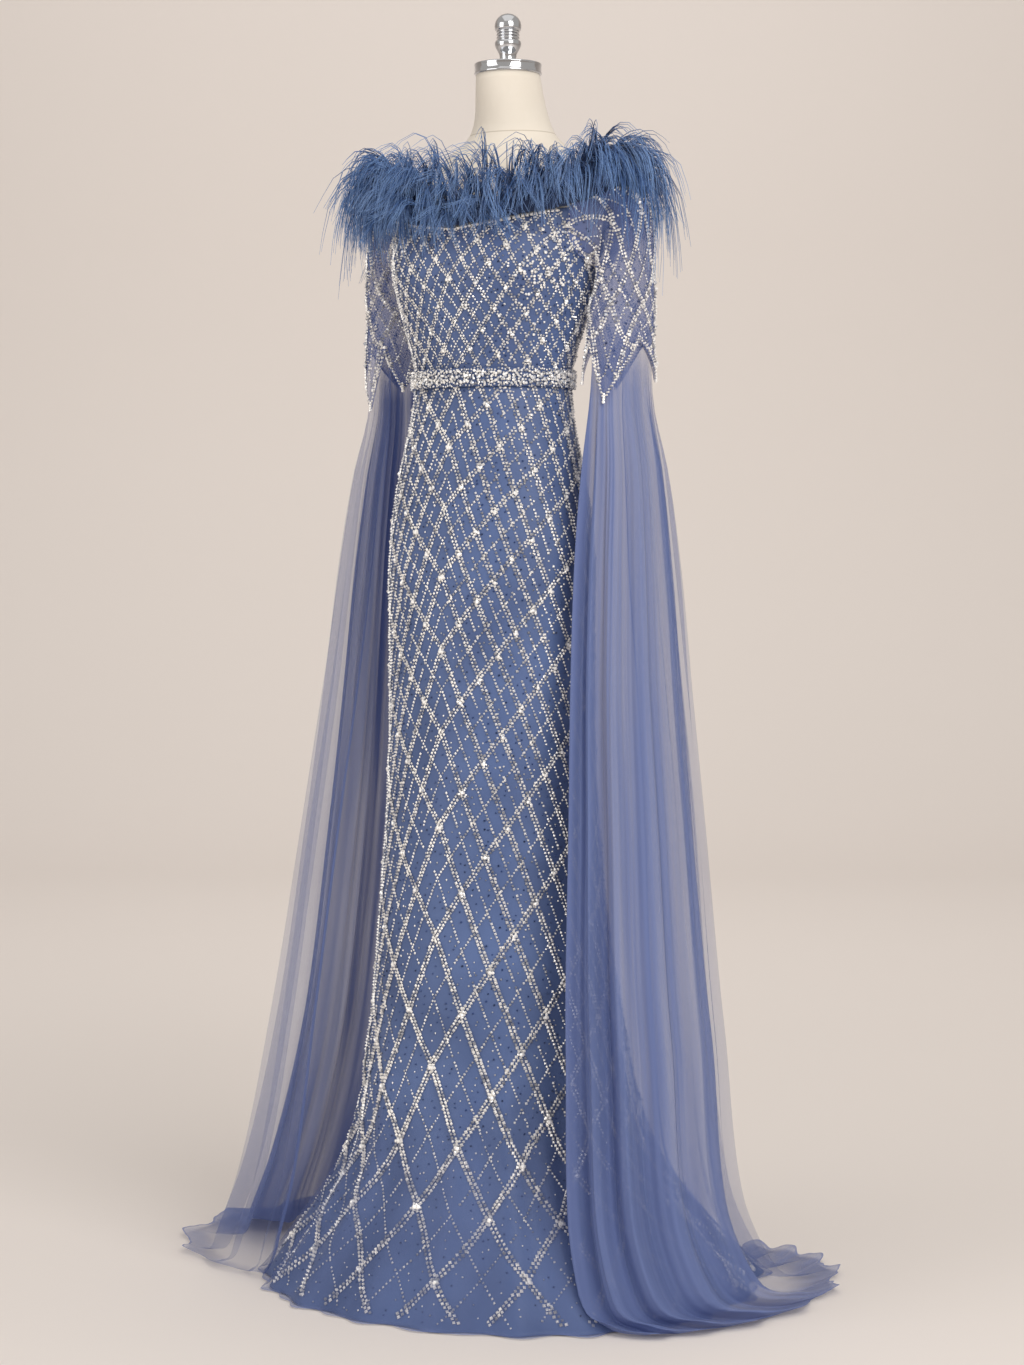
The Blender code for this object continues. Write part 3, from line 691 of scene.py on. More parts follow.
def cloth_grid(place: Place, columns: int, rows: int, size: tuple[float, float],
               closed: bool = False,
               gather: Callable[[float, float], float] | None = None) -> bmesh.types.BMesh:
    """A sheet of quads with a map in metres.

    Args:
        place: gives the point for u and v, each from 0 to 1.
        columns: faces across.
        rows: faces up.
        size: the sheet's flat width and length.
        closed: join the first column to the last.
        gather: how dense net looks here, from 0 to 1.

    Returns:
        The sheet.
    """
    shape = bmesh.new()
    bmesh.ops.create_grid(shape, x_segments=columns, y_segments=rows, size=0.5)
    layer = shape.loops.layers.uv.new("cloth")
    for face in shape.faces:
        for loop in face.loops:
            x, y, _ = loop.vert.co
            loop[layer].uv = ((x + 0.5) * size[0], (y + 0.5) * size[1])
    dense = shape.verts.layers.float.new("gather") if gather else None
    for vert in shape.verts:
        u, v = vert.co.x + 0.5, vert.co.y + 0.5
        if gather:
            vert[dense] = gather(u, v)
        vert.co = place(u, v)
    if closed:
        bmesh.ops.remove_doubles(shape, verts=shape.verts, dist=TINY)
    return shape


def make_piece(name: str, shape: bmesh.types.BMesh, material: bpy.types.Material,
               wall: float = 0.0) -> bpy.types.Object:
    """One piece from a bmesh, riding on the gown's only body.

    Args:
        name: the piece's name.
        shape: its shape, used up here.
        material: its finish.
        wall: the thickness of a cloth wall, set equally to both sides of the sheet.

    Returns:
        The piece.
    """
    mesh = bpy.data.meshes.new(name)
    shape.to_mesh(mesh)
    shape.free()
    mesh.shade_smooth()
    mesh.materials.append(material)
    piece = bpy.data.objects.new(name, mesh)
    bpy.context.scene.collection.objects.link(piece)
    if wall:
        solid = piece.modifiers.new("Wall", "SOLIDIFY")
        solid.thickness, solid.offset, solid.use_even_offset = wall, 0.0, True
    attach(piece, "root")
    LOG.info("%s: %d faces", name, len(mesh.polygons))
    return piece


class NodeBuild:
    """A mesh that is finished by geometry nodes, then kept as a plain mesh."""

    def __init__(self, name: str) -> None:
        """Start an empty set of nodes with a mesh in and a mesh out."""
        self.name = name
        self.group = bpy.data.node_groups.new(name, "GeometryNodeTree")
        for way in ("INPUT", "OUTPUT"):
            self.group.interface.new_socket("Geometry", in_out=way,
                                            socket_type="NodeSocketGeometry")
        self.source = self.group.nodes.new("NodeGroupInput").outputs[0]
        self.result = self.group.nodes.new("NodeGroupOutput").inputs[0]

    def add(self, kind: str, inputs: dict, **settings) -> bpy.types.Node:
        """Add a node, its settings and its inputs."""
        node = self.group.nodes.new(kind)
        for key, value in settings.items():
            setattr(node, key, value)
        for key, value in inputs.items():
            if isinstance(value, Socket):
                self.group.links.new(value, node.inputs[key])
            else:
                node.inputs[key].default_value = value
        return node

    def own(self, name: str, kind: str = "FLOAT") -> Socket:
        """A value that the mesh carries on its points."""
        node = self.add("GeometryNodeInputNamedAttribute", {"Name": name}, data_type=kind)
        return node.outputs["Attribute"]

    def finish(self, mesh: bpy.types.Mesh, geometry: Socket,
               material: bpy.types.Material) -> bpy.types.Object:
        """Run the nodes and keep what they make.

        Args:
            mesh: the points or lines that they start from.
            geometry: the last node's geometry.
            material: the finish.

        Returns:
            The piece.
        """
        self.group.links.new(geometry, self.result)
        piece = bpy.data.objects.new(self.name, mesh)
        bpy.context.scene.collection.objects.link(piece)
        piece.modifiers.new("Make", "NODES").node_group = self.group
        graph = bpy.context.evaluated_depsgraph_get()
        made = bpy.data.meshes.new_from_object(piece.evaluated_get(graph),
                                               preserve_all_data_layers=True, depsgraph=graph)
        piece.modifiers.clear()
        piece.data = made
        made.name = self.name
        made.materials.clear()
        made.materials.append(material)
        bpy.data.meshes.remove(mesh)
        bpy.data.node_groups.remove(self.group)
        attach(piece, "root")
        LOG.info("%s: %d faces", self.name, len(made.polygons))
        return piece


class Stone(Enum):
    """How finely a bead is cut: its segments and rings."""

    BEAD = (4, 2)
    CRYSTAL = (6, 3)


@dataclass
class BeadWork:
    """Beads and crystals sewn on cloth, gathered spot by spot and joined into one mesh."""

    name: str
    finish: bpy.types.Material
    stone: Stone = Stone.BEAD
    spots: list[tuple] = field(default_factory=list)
    facing: list[tuple] = field(default_factory=list)
    size: list[float] = field(default_factory=list)
    tint: list[float] = field(default_factory=list)

    def sew(self, point: Vector, normal: Vector, width: float, tint: float) -> None:
        """Sew on one bead of the given width, proud of the cloth's face."""
        self.spots.append(tuple(point + normal * (CLOTH / 2.0 + width * 0.30)))
        self.facing.append(tuple(normal))
        self.size.append(width / 2.0)
        self.tint.append(tint)

    def build(self) -> bpy.types.Object:
        """Join the beads into one piece."""
        mesh = bpy.data.meshes.new(self.name)
        mesh.from_pydata(self.spots, [], [])
        for name, kind, values in (("size", "FLOAT", self.size), ("tint", "FLOAT", self.tint)):
            mesh.attributes.new(name, kind, "POINT").data.foreach_set("value", values)
        flat = [value for facing in self.facing for value in facing]
        mesh.attributes.new("facing", "FLOAT_VECTOR", "POINT").data.foreach_set("vector", flat)
        nodes = NodeBuild(self.name)
        segments, rings = self.stone.value
        stone = nodes.add("GeometryNodeMeshUVSphere", {"Segments": segments, "Rings": rings,
                                                       "Radius": 1.0})
        turn = nodes.add("FunctionNodeAlignRotationToVector",
                         {"Vector": nodes.own("facing", "FLOAT_VECTOR")}, axis="Z")
        copies = nodes.add("GeometryNodeInstanceOnPoints", {
            "Points": nodes.source, "Instance": stone.outputs["Mesh"],
            "Rotation": turn.outputs["Rotation"], "Scale": nodes.own("size"),
        })
        joined = nodes.add("GeometryNodeRealizeInstances",
                           {"Geometry": copies.outputs["Instances"]})
        return nodes.finish(mesh, joined.outputs["Geometry"], self.finish)


class Tailoring:
    """The finishes of the whole gown and its stand."""

    def __init__(self) -> None:
        """Make each finish once."""
        self.satin = Satin().material()
        self.net = Net().material()
        self.canvas = Canvas().material()
        self.silver = Glint("silver_beads", srgb(132, 134, 144), srgb(250, 247, 242), 0.3,
                            0.2).material()
        self.navy = Glint("navy_beads", srgb(24, 36, 70), srgb(62, 84, 136), 0.4,
                          0.2).material()
        self.crystal = Glint("crystals", srgb(176, 182, 194), srgb(254, 252, 249), 0.25,
                             0.06).material()
        self.feather = Plume().material()
        self.chrome = Metal("form_chrome", srgb(214, 216, 220), 0.07, 0.16).material()
        self.steel = Metal("stand_steel", srgb(190, 192, 196), 0.24, 0.4, 0.05).material()


@dataclass
class DressForm:
    """The limbless form: torso and neck, chrome cap and finial, pole and base."""

    columns: int = 72
    rows: int = 84
    cap_radius: float = 0.0448
    finial_steps: int = 48

    def torso_point(self, u: float, v: float) -> Vector:
        """A point of the torso and neck."""
        z = TORSO_BOTTOM + (NECK_TOP - TORSO_BOTTOM) * v
        ease = FORM_EASE * smooth_step((z - FORM_EASE_START) / FORM_EASE_RISE)
        return body_point(-180.0 + 360.0 * u, z, -ease)

    def torso(self, finish: bpy.types.Material) -> None:
        """The torso, closed at the bottom and under the cap."""
        shape = cloth_grid(self.torso_point, self.columns, self.rows, (0.86, 0.81), closed=True)
        for rim in self.rims(shape):
            bmesh.ops.edgeloop_fill(shape, edges=rim)
        bmesh.ops.recalc_face_normals(shape, faces=shape.faces)
        piece = make_piece("form_body", shape, finish)
        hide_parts("form_torso")

    def rims(self, shape: bmesh.types.BMesh) -> Iterator[list]:
        """The open edges of the torso, bottom first and then top."""
        open_edges = [edge for edge in shape.edges if edge.is_boundary]
        middle = (TORSO_BOTTOM + NECK_TOP) / 2.0
        yield [edge for edge in open_edges if edge.verts[0].co.z < middle]
        yield [edge for edge in open_edges if edge.verts[0].co.z > middle]

    def turned(self, name: str, node: str, profile: Sequence[tuple[float, float]], floor: float,
               finish: bpy.types.Material) -> None:
        """A turned metal piece.

        Args:
            name: the piece's name.
            node: the CAD node that it stands for.
            profile: radius and height rows, from the axis at the top to the axis at the bottom.
            floor: the height that the profile stands on.
            finish: the metal.
        """
        shape = bmesh.new()
        points = [shape.verts.new((radius, 0.0, floor + up)) for radius, up in profile]
        lines = [shape.edges.new(pair) for pair in zip(points, points[1:])]
        bmesh.ops.spin(shape, geom=points + lines, cent=(0.0, 0.0, 0.0), axis=(0.0, 0.0, 1.0),
                       angle=math.tau, steps=self.finial_steps, use_merge=True)
        bmesh.ops.remove_doubles(shape, verts=shape.verts, dist=0.00002)
        bmesh.ops.recalc_face_normals(shape, faces=shape.faces)
        piece = make_piece(name, shape, finish)
        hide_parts(node)

    def metalwork(self, finish: bpy.types.Material) -> None:
        """The cap on the neck, with its rolled edges, and the finial on the cap."""
        r, h = self.cap_radius, CAP_HEIGHT
        rolled = [(r - 0.0016 + 0.0016 * math.sin(t), h - 0.0028 + 0.0016 * math.cos(t))
                  for t in [math.radians(15.0 * step) for step in range(7)]]
        cap = [(0.0, h), (0.020, h - 0.0001), (0.034, h - 0.0003), (0.0405, h - 0.0009),
               *rolled, (r - 0.0005, h - 0.0042), (r - 0.0005, 0.0030), (r, 0.0024),
               (r, 0.0010), (r - 0.0008, 0.0), (0.0, 0.0)]
        self.turned("cap", "form_cap", cap, NECK_TOP + SEAM_GAP, finish)
        ball = [(0.0178 * math.sin(t), 0.0480 + 0.0170 * math.cos(t))
                for t in [math.radians(9.0 * step) for step in range(13)]]
        rings: list[tuple[float, float]] = []
        for centre in (0.0405, 0.0365, 0.0325):
            rings += [(0.0128, centre + 0.0020), (0.0150, centre + 0.0012),
                      (0.0156, centre), (0.0150, centre - 0.0012), (0.0128, centre - 0.0018)]
        vase = [(0.0140, 0.0300), (0.0168, 0.0284), (0.0176, 0.0258), (0.0174, 0.0228),
                (0.0160, 0.0190), (0.0134, 0.0146), (0.0116, 0.0108), (0.0110, 0.0070),
                (0.0112, 0.0034), (0.0122, 0.0012), (0.0124, 0.0), (0.0, 0.0)]
        finial = ball + rings + vase
        self.turned("finial", "form_finial", finial, NECK_TOP + CAP_HEIGHT + 2.0 * SEAM_GAP,
                    finish)

    def build(self, finishes: Tailoring) -> None:
        """Build the form and give its stand's CAD pieces their steel."""
        self.torso(finishes.canvas)
        self.metalwork(finishes.chrome)
        for node in ("form_base", "form_pole"):
            for slot in bpy.data.objects[node].material_slots:
                slot.material = finishes.steel


@dataclass
class ArcMap:
    """Turns a distance round the gown, from the centre front, into an angle."""

    surface: Callable[[float, float], Vector]
    bottom: float
    top: float
    step: float = 0.01
    turn: float = 3.0
    flare: float = -1.0  # below this height the lines follow the cloth down its flare
    lengths: list[list[float]] = field(default_factory=list)

    def __post_init__(self) -> None:
        """Measure the distance to every third degree, ring by ring, front to back."""
        rings = round((self.top - self.bottom) / self.step) + 1
        for ring in range(rings):
            z = self.bottom + self.step * ring
            total, row = 0.0, [0.0]
            last = self.surface(-90.0, z)
            for number in range(1, round(180.0 / self.turn) + 1):
                point = self.surface(-90.0 + self.turn * number, z)
                total += (point - last).length
                row.append(total)
                last = point
            self.lengths.append(row)

    def ring(self, z: float) -> list[float]:
        """The measured ring nearest to a height."""
        number = round((max(z, self.flare) - self.bottom) / self.step)
        return self.lengths[min(max(number, 0), len(self.lengths) - 1)]

    def half(self, z: float) -> float:
        """Half the way round at a height."""
        return self.ring(z)[-1]

    def degrees(self, across: float, z: float) -> float:
        """The angle at a signed distance from the centre front; above 0 is to the left."""
        row = self.ring(z)
        away = min(abs(across), row[-1] - TINY)
        number = bisect.bisect_right(row, away) - 1
        share = (away - row[number]) / (row[number + 1] - row[number])
        return -90.0 + math.copysign((number + share) * self.turn, across)


@dataclass
class Lattice:
    """Two families of bead lines, mirrored about the centre front: one runs steeply down and
    outward, the other down and inward. Whole numbers are double lines, halves are thin ones."""

    period: Sequence[Reading]
    steep: Sequence[Reading]
    shallow: Sequence[Reading]
    anchor: float
    low: float = -1.2
    high: float = 2.6
    step: float = 0.002
    steepest: float = 2.8

    def __post_init__(self) -> None:
        """Add up the periods and slopes from the lowest height to the highest."""
        self.z = np.arange(self.low, self.high, self.step)
        self.count = self.added(self.period)
        self.out_steep = self.added(self.steep)
        self.out_shallow = self.added(self.shallow)
        self.count -= np.interp(self.anchor, self.z, self.count)
        self.slopes = {steep: self.columns(self.steep if steep else self.shallow)
                       for steep in (True, False)}

    def columns(self, rows: Sequence[Reading]) -> tuple[list[float], list[float]]:
        """A table's heights and values, by rising height."""
        known = sorted(rows)
        return [row.z for row in known], [row.value for row in known]

    def added(self, rows: Sequence[Reading]) -> np.ndarray:
        """The running sum of one over a table's value."""
        return np.cumsum(self.step / np.interp(self.z, *self.columns(rows)))

    def steep_number(self, across: float, z: float) -> float:
        """Which steep line passes here."""
        at = np.interp(z, self.z, self.out_steep) + abs(across)
        return float(np.interp(np.interp(at, self.out_steep, self.z), self.z, self.count))

    def shallow_number(self, across: float, z: float) -> float:
        """Which shallow line passes here."""
        at = np.interp(z, self.z, self.out_shallow) - abs(across)
        return float(np.interp(np.interp(at, self.out_shallow, self.z), self.z, self.count))

    def line(self, number: float, steep: bool, stride: float, bottom: float, top: float,
             reach: float) -> Iterator[tuple[float, float, float, float]]:
        """Walk one line outward from the centre front.

        Args:
            number: the line's number.
            steep: the steep family, otherwise the shallow one.
            stride: the distance between beads.
            bottom: the lowest height that is wanted.
            top: the highest.
            reach: how far out to go.

        Yields:
            The distance out, the height, and the line's direction in both.
        """
        start = float(np.interp(number, self.count, self.z))
        table = self.out_steep if steep else self.out_shallow
        begin = float(np.interp(start, self.z, table))
        out, z = 0.0, start
        while out <= reach:
            slope = float(np.interp(z, *self.slopes[steep]))
            unit = math.hypot(1.0, slope)
            if bottom <= z <= top:
                yield out, z, 1.0 / unit, (-slope if steep else slope) / unit
                out += stride / unit
            elif (z < bottom) == steep:
                return
            else:
                out += stride / unit
            z = float(np.interp(begin - out if steep else begin + out, table, self.z))

    def numbers(self, bottom: float, top: float, reach: float) -> Iterator[float]:
        """Every half number whose line can cross the wanted heights."""
        margin = self.steepest * reach
        first = float(np.interp(max(bottom - margin, self.low), self.z, self.count))
        last = float(np.interp(min(top + margin, self.high), self.z, self.count))
        for half in range(math.ceil(2.0 * first), math.floor(2.0 * last) + 1):
            yield half / 2.0


@dataclass
class Embroidery:
    """The beaded lattice sewn on one part of the gown, its crossings and its scattered beads."""

    surface: Callable[[float, float], Vector]
    arcs: ArcMap
    lattice: Lattice
    limits: Callable[[float], tuple[float, float]]
    rng: random.Random
    rows_apart: float = 0.0041
    bead: float = 0.0042
    stride: float = 0.0047
    thin_bead: float = 0.0037
    thin_stride: float = 0.0046
    crystal: float = 0.0054
    scatter_step: float = 0.0105
    scatter_sway: float = 0.004
    scatter_size: tuple[float, float] = (0.0023, 0.0033)
    silver_share: float = 0.55
    cell_margin: float = 0.2
    divide: float = -0.03
    sway: float = 0.0003
    slip: float = 0.0004
    thin_kept: float = 0.93
    cluster: int = 3
    cluster_reach: float = 0.0046
    proud: float = 0.0008
    feel_degrees: float = 0.8
    feel_height: float = 0.003
    swell: Callable[[float], float] = lambda z: 1.0

    def on_cloth(self, degrees: float, z: float) -> tuple[Vector, Vector, Vector, Vector]:
        """A point of the cloth, its normal, and the directions across and up."""
        turn, rise = self.feel_degrees, self.feel_height
        across = self.surface(degrees + turn, z) - self.surface(degrees - turn, z)
        up = self.surface(degrees, z + rise) - self.surface(degrees, z - rise)
        normal = across.cross(up).normalized()
        return self.surface(degrees, z), normal, across.normalized(), up.normalized()

    @property
    def reach(self) -> float:
        """The longest way from the centre front to the centre back."""
        return max(self.arcs.half(self.arcs.bottom), self.arcs.half(self.arcs.top))

    def wanted(self, degrees: float, z: float) -> bool:
        """Whether the cloth reaches this spot."""
        low, high = self.limits(degrees)
        return low <= z <= high

    def jitter(self, size: float) -> float:
        """A small random offset to either side."""
        return self.rng.uniform(-size, size)

    def line(self, number: float, steep: bool, side: float, front: "Beading", back: "Beading",
             thin: "Beading") -> None:
        """Sew one line of the lattice on one side of the centre front.

        Args:
            number: the line's number, whole for a double line.
            steep: the steep family.
            side: 1 for the wearer's left, -1 for the right.
            front: takes the double lines and the crossings of the front.
            back: takes those of the back.
            thin: takes the single lines.
        """
        double = number == int(number)
        stride = self.stride if double else self.thin_stride
        last = None
        walk = self.lattice.line(number, steep, stride, self.arcs.bottom, self.arcs.top,
                                 self.reach)
        for out, z, along, rise in walk:
            if out > self.arcs.half(z):
                continue
            degrees = self.arcs.degrees(side * out, z)
            if not self.wanted(degrees, z):
                continue
            point, normal, right, up = self.on_cloth(degrees, z)
            line = right * (along * side) + up * rise
            beside = normal.cross(line)
            grown = self.swell(z)
            main = front if point.y < self.divide else back
            if double:
                for row in (-0.5, 0.5):
                    aside = row * self.rows_apart * grown + self.jitter(self.sway)
                    spot = point + beside * aside
                    spot += line * (self.jitter(self.slip) + row * stride / 2.0)
                    width = self.bead * grown * self.rng.uniform(0.82, 1.16)
                    main.beads.sew(spot, normal, width, self.rng.random())
                if steep:
                    crossing = math.floor(self.lattice.shallow_number(out, z))
                    if last is not None and crossing != last:
                        self.crossing(point, normal, line, beside, grown, main)
                    last = crossing
            elif self.rng.random() < self.thin_kept:
                spot = point + beside * self.jitter(self.sway)
                width = self.thin_bead * self.rng.uniform(0.8, 1.2)
                thin.beads.sew(spot, normal, width, self.rng.random())

    def crossing(self, point: Vector, normal: Vector, line: Vector, beside: Vector, grown: float,
                 main: "Beading") -> None:
        """A crystal where two double lines cross, and smaller ones by it."""
        spot = point + normal * self.proud
        main.crystals.sew(spot, normal, self.crystal * grown, self.rng.uniform(0.5, 1.0))
        for _ in range(self.cluster):
            away = line * self.jitter(self.cluster_reach)
            away += beside * self.jitter(self.cluster_reach)
            width = self.crystal * grown * self.rng.uniform(0.5, 0.8)
            main.crystals.sew(spot + away, normal, width, self.rng.random())

    def scatter(self, silver: "BeadWork", navy: "BeadWork") -> None:
        """Single beads in the open cells."""
        z = self.arcs.bottom
        while z < self.arcs.top:
            half = self.arcs.half(z)
            across = -half
            while across < half:
                out = across + self.jitter(self.scatter_sway)
                up = z + self.jitter(self.scatter_sway)
                across += self.scatter_step
                cell = (2.0 * self.lattice.steep_number(out, up) % 1.0,
                        2.0 * self.lattice.shallow_number(out, up) % 1.0)
                if not all(self.cell_margin < share < 1.0 - self.cell_margin for share in cell):
                    continue
                degrees = self.arcs.degrees(min(max(out, -half), half), up)
                if not self.wanted(degrees, up):
                    continue
                point, normal, _, _ = self.on_cloth(degrees, up)
                work = silver if self.rng.random() < self.silver_share else navy
                work.sew(point, normal, self.rng.uniform(*self.scatter_size), self.rng.random())
            z += self.scatter_step

    def sew(self, front: "Beading", back: "Beading", thin: "Beading", silver: "BeadWork",
            navy: "BeadWork") -> None:
        """Sew the whole lattice: every line on both sides, then the scattered beads."""
        for number in self.lattice.numbers(self.arcs.bottom, self.arcs.top, self.reach):
            for steep in (True, False):
                for side in (1.0, -1.0):
                    self.line(number, steep, side, front, back, thin)
        self.scatter(silver, navy)


@dataclass
class Beading:
    """The beads and the crystals of one group of lines."""

    beads: BeadWork
    crystals: BeadWork

    @classmethod
    def named(cls: type, name: str, finishes: Tailoring) -> "Beading":
        """Empty groups with their finishes."""
        return cls(BeadWork(name + "_beads", finishes.silver),
                   BeadWork(name + "_crystals", finishes.crystal, Stone.CRYSTAL))

    def build(self) -> list[bpy.types.Object]:
        """Join what has been sewn."""
        return [work.build() for work in (self.beads, self.crystals) if work.spots]


def rumple(point: Vector, depth: float) -> float:
    """Small soft unevenness of cloth that hangs under its own beads."""
    slow = noise.noise(Vector((point.x * 26.0, point.y * 26.0, point.z * 13.0)))
    quick = noise.noise(Vector((point.x * 75.0 + 9.0, point.y * 75.0, point.z * 48.0)))
    return depth * (slow + 0.55 * quick)


@dataclass
class Skirt:
    """The column skirt: satin front and back, a sheer layer over the flare, and its lattice."""

    hem: float = 0.0022
    columns: int = 84
    rows: int = 84
    wall: float = 0.0014
    uneven: float = 0.0009
    veil_top: float = 0.34
    veil_lift: float = 0.0075
    veil_ripples: float = 31.0
    veil_ripple: float = 0.0045
    veil_dense: float = 0.27
    veil_edge: float = 0.008
    veil_columns: int = 130
    veil_rows: int = 30
    flat_width: float = 1.10
    flat_length: float = 1.26

    def surface(self, degrees: float, z: float) -> Vector:
        """A point of the satin."""
        point = skirt_point(degrees, z)
        calm = smooth_step((WAIST_Z - z) / 0.03)
        return skirt_point(degrees, z, rumple(point, self.uneven) * calm)

    def veil(self, degrees: float, z: float) -> Vector:
        """A point of the sheer layer that stands off the satin towards the floor."""
        low = smooth_step(1.0 - z / self.veil_top)
        turn = math.radians(degrees)
        ripple = math.sin(turn * self.veil_ripples + 2.0 * math.sin(turn * 3.0))
        out = self.veil_lift * low + self.veil_ripple * low * low * ripple
        return skirt_point(degrees, max(z, self.hem), out + 0.0012)

    def veil_gather(self, _: float, v: float) -> float:
        """The sheer layer comes in softly at its top and shows at its hem."""
        return self.veil_dense * smooth_step((1.0 - v) / 0.6) if v > self.veil_edge else 0.7

    def height(self, v: float, top: float) -> float:
        """The height of a row, closer together towards the floor."""
        return self.hem + (top - self.hem) * v ** 1.3

    def panel(self, start: float, end: float, top: float, surface: Place) -> Place:
        """The placing of one cut of the skirt, from one side seam to the other."""
        def place(u: float, v: float) -> Vector:
            """A point of the cut."""
            degrees = start + SEAM_ANGLE + (end - start - 2.0 * SEAM_ANGLE) * u
            return surface(degrees, self.height(v, top))
        return place

    def cuts(self, finishes: Tailoring) -> None:
        """The satin front and back, and the sheer layer over each."""
        top = WAIST_Z - SEAM_GAP / 2.0
        for name, start in (("front", -180.0), ("back", 0.0)):
            place = self.panel(start, start + 180.0, top, self.surface)
            size = (self.flat_width / 2.0, self.flat_length)
            shape = cloth_grid(place, self.columns, self.rows, size)
            satin = make_piece("skirt_satin_" + name, shape, finishes.satin, self.wall)
            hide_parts("skirt_" + name)
            place = self.panel(start, start + 180.0, self.veil_top, self.veil)
            shape = cloth_grid(place, self.veil_columns, self.veil_rows, (1.0, self.veil_top),
                               gather=self.veil_gather)
            veil = make_piece("skirt_veil_" + name, shape, finishes.net)

    def lattice(self) -> Lattice:
        """The skirt's lattice: small cells at the waist, large ones at the hem."""
        period = rows_of(Reading, (0.0, 0.12), (0.06, 0.15), (0.15, 0.178), (0.30, 0.175),
                       (0.40, 0.168), (0.55, 0.143), (0.70, 0.118), (0.90, 0.095),
                       (1.0, 0.085), (1.19, 0.075))
        steep = rows_of(Reading, (0.1, 2.1), (0.4, 2.4), (0.8, 2.5), (1.1, 2.4), (1.2, 2.2))
        shallow = rows_of(Reading, (0.2, 1.65), (0.5, 1.6), (0.75, 1.35), (0.95, 1.18),
                        (1.2, 1.15))
        return Lattice(period, steep, shallow, anchor=0.480)

    def embroider(self, finishes: Tailoring, silver: BeadWork, navy: BeadWork,
                  rng: random.Random) -> None:
        """Sew the lattice all round."""
        arcs = ArcMap(lambda degrees, z: section_point(
            row_at(SKIRT, z), signed_angle(degrees)) if z < SKIRT[-1].z
            else skirt_point(degrees, z), self.hem + 0.006, WAIST_Z - 0.008, flare=0.22)
        work = Embroidery(self.surface, arcs, self.lattice(),
                          lambda degrees: (self.hem + 0.005, WAIST_Z - 0.010), rng,
                          swell=lambda z: 1.0 + 0.34 * smooth_step(1.0 - z / 0.75))
        front, back = (Beading.named("skirt_" + name, finishes) for name in ("front", "back"))
        thin = Beading.named("skirt_fine", finishes)
        work.sew(front, back, thin, silver, navy)
        for piece in front.build() + back.build() + thin.build():
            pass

    def build(self, finishes: Tailoring, silver: BeadWork, navy: BeadWork,
              rng: random.Random) -> None:
        """Cut and embroider the skirt."""
        self.cuts(finishes)
        self.embroider(finishes, silver, navy, rng)


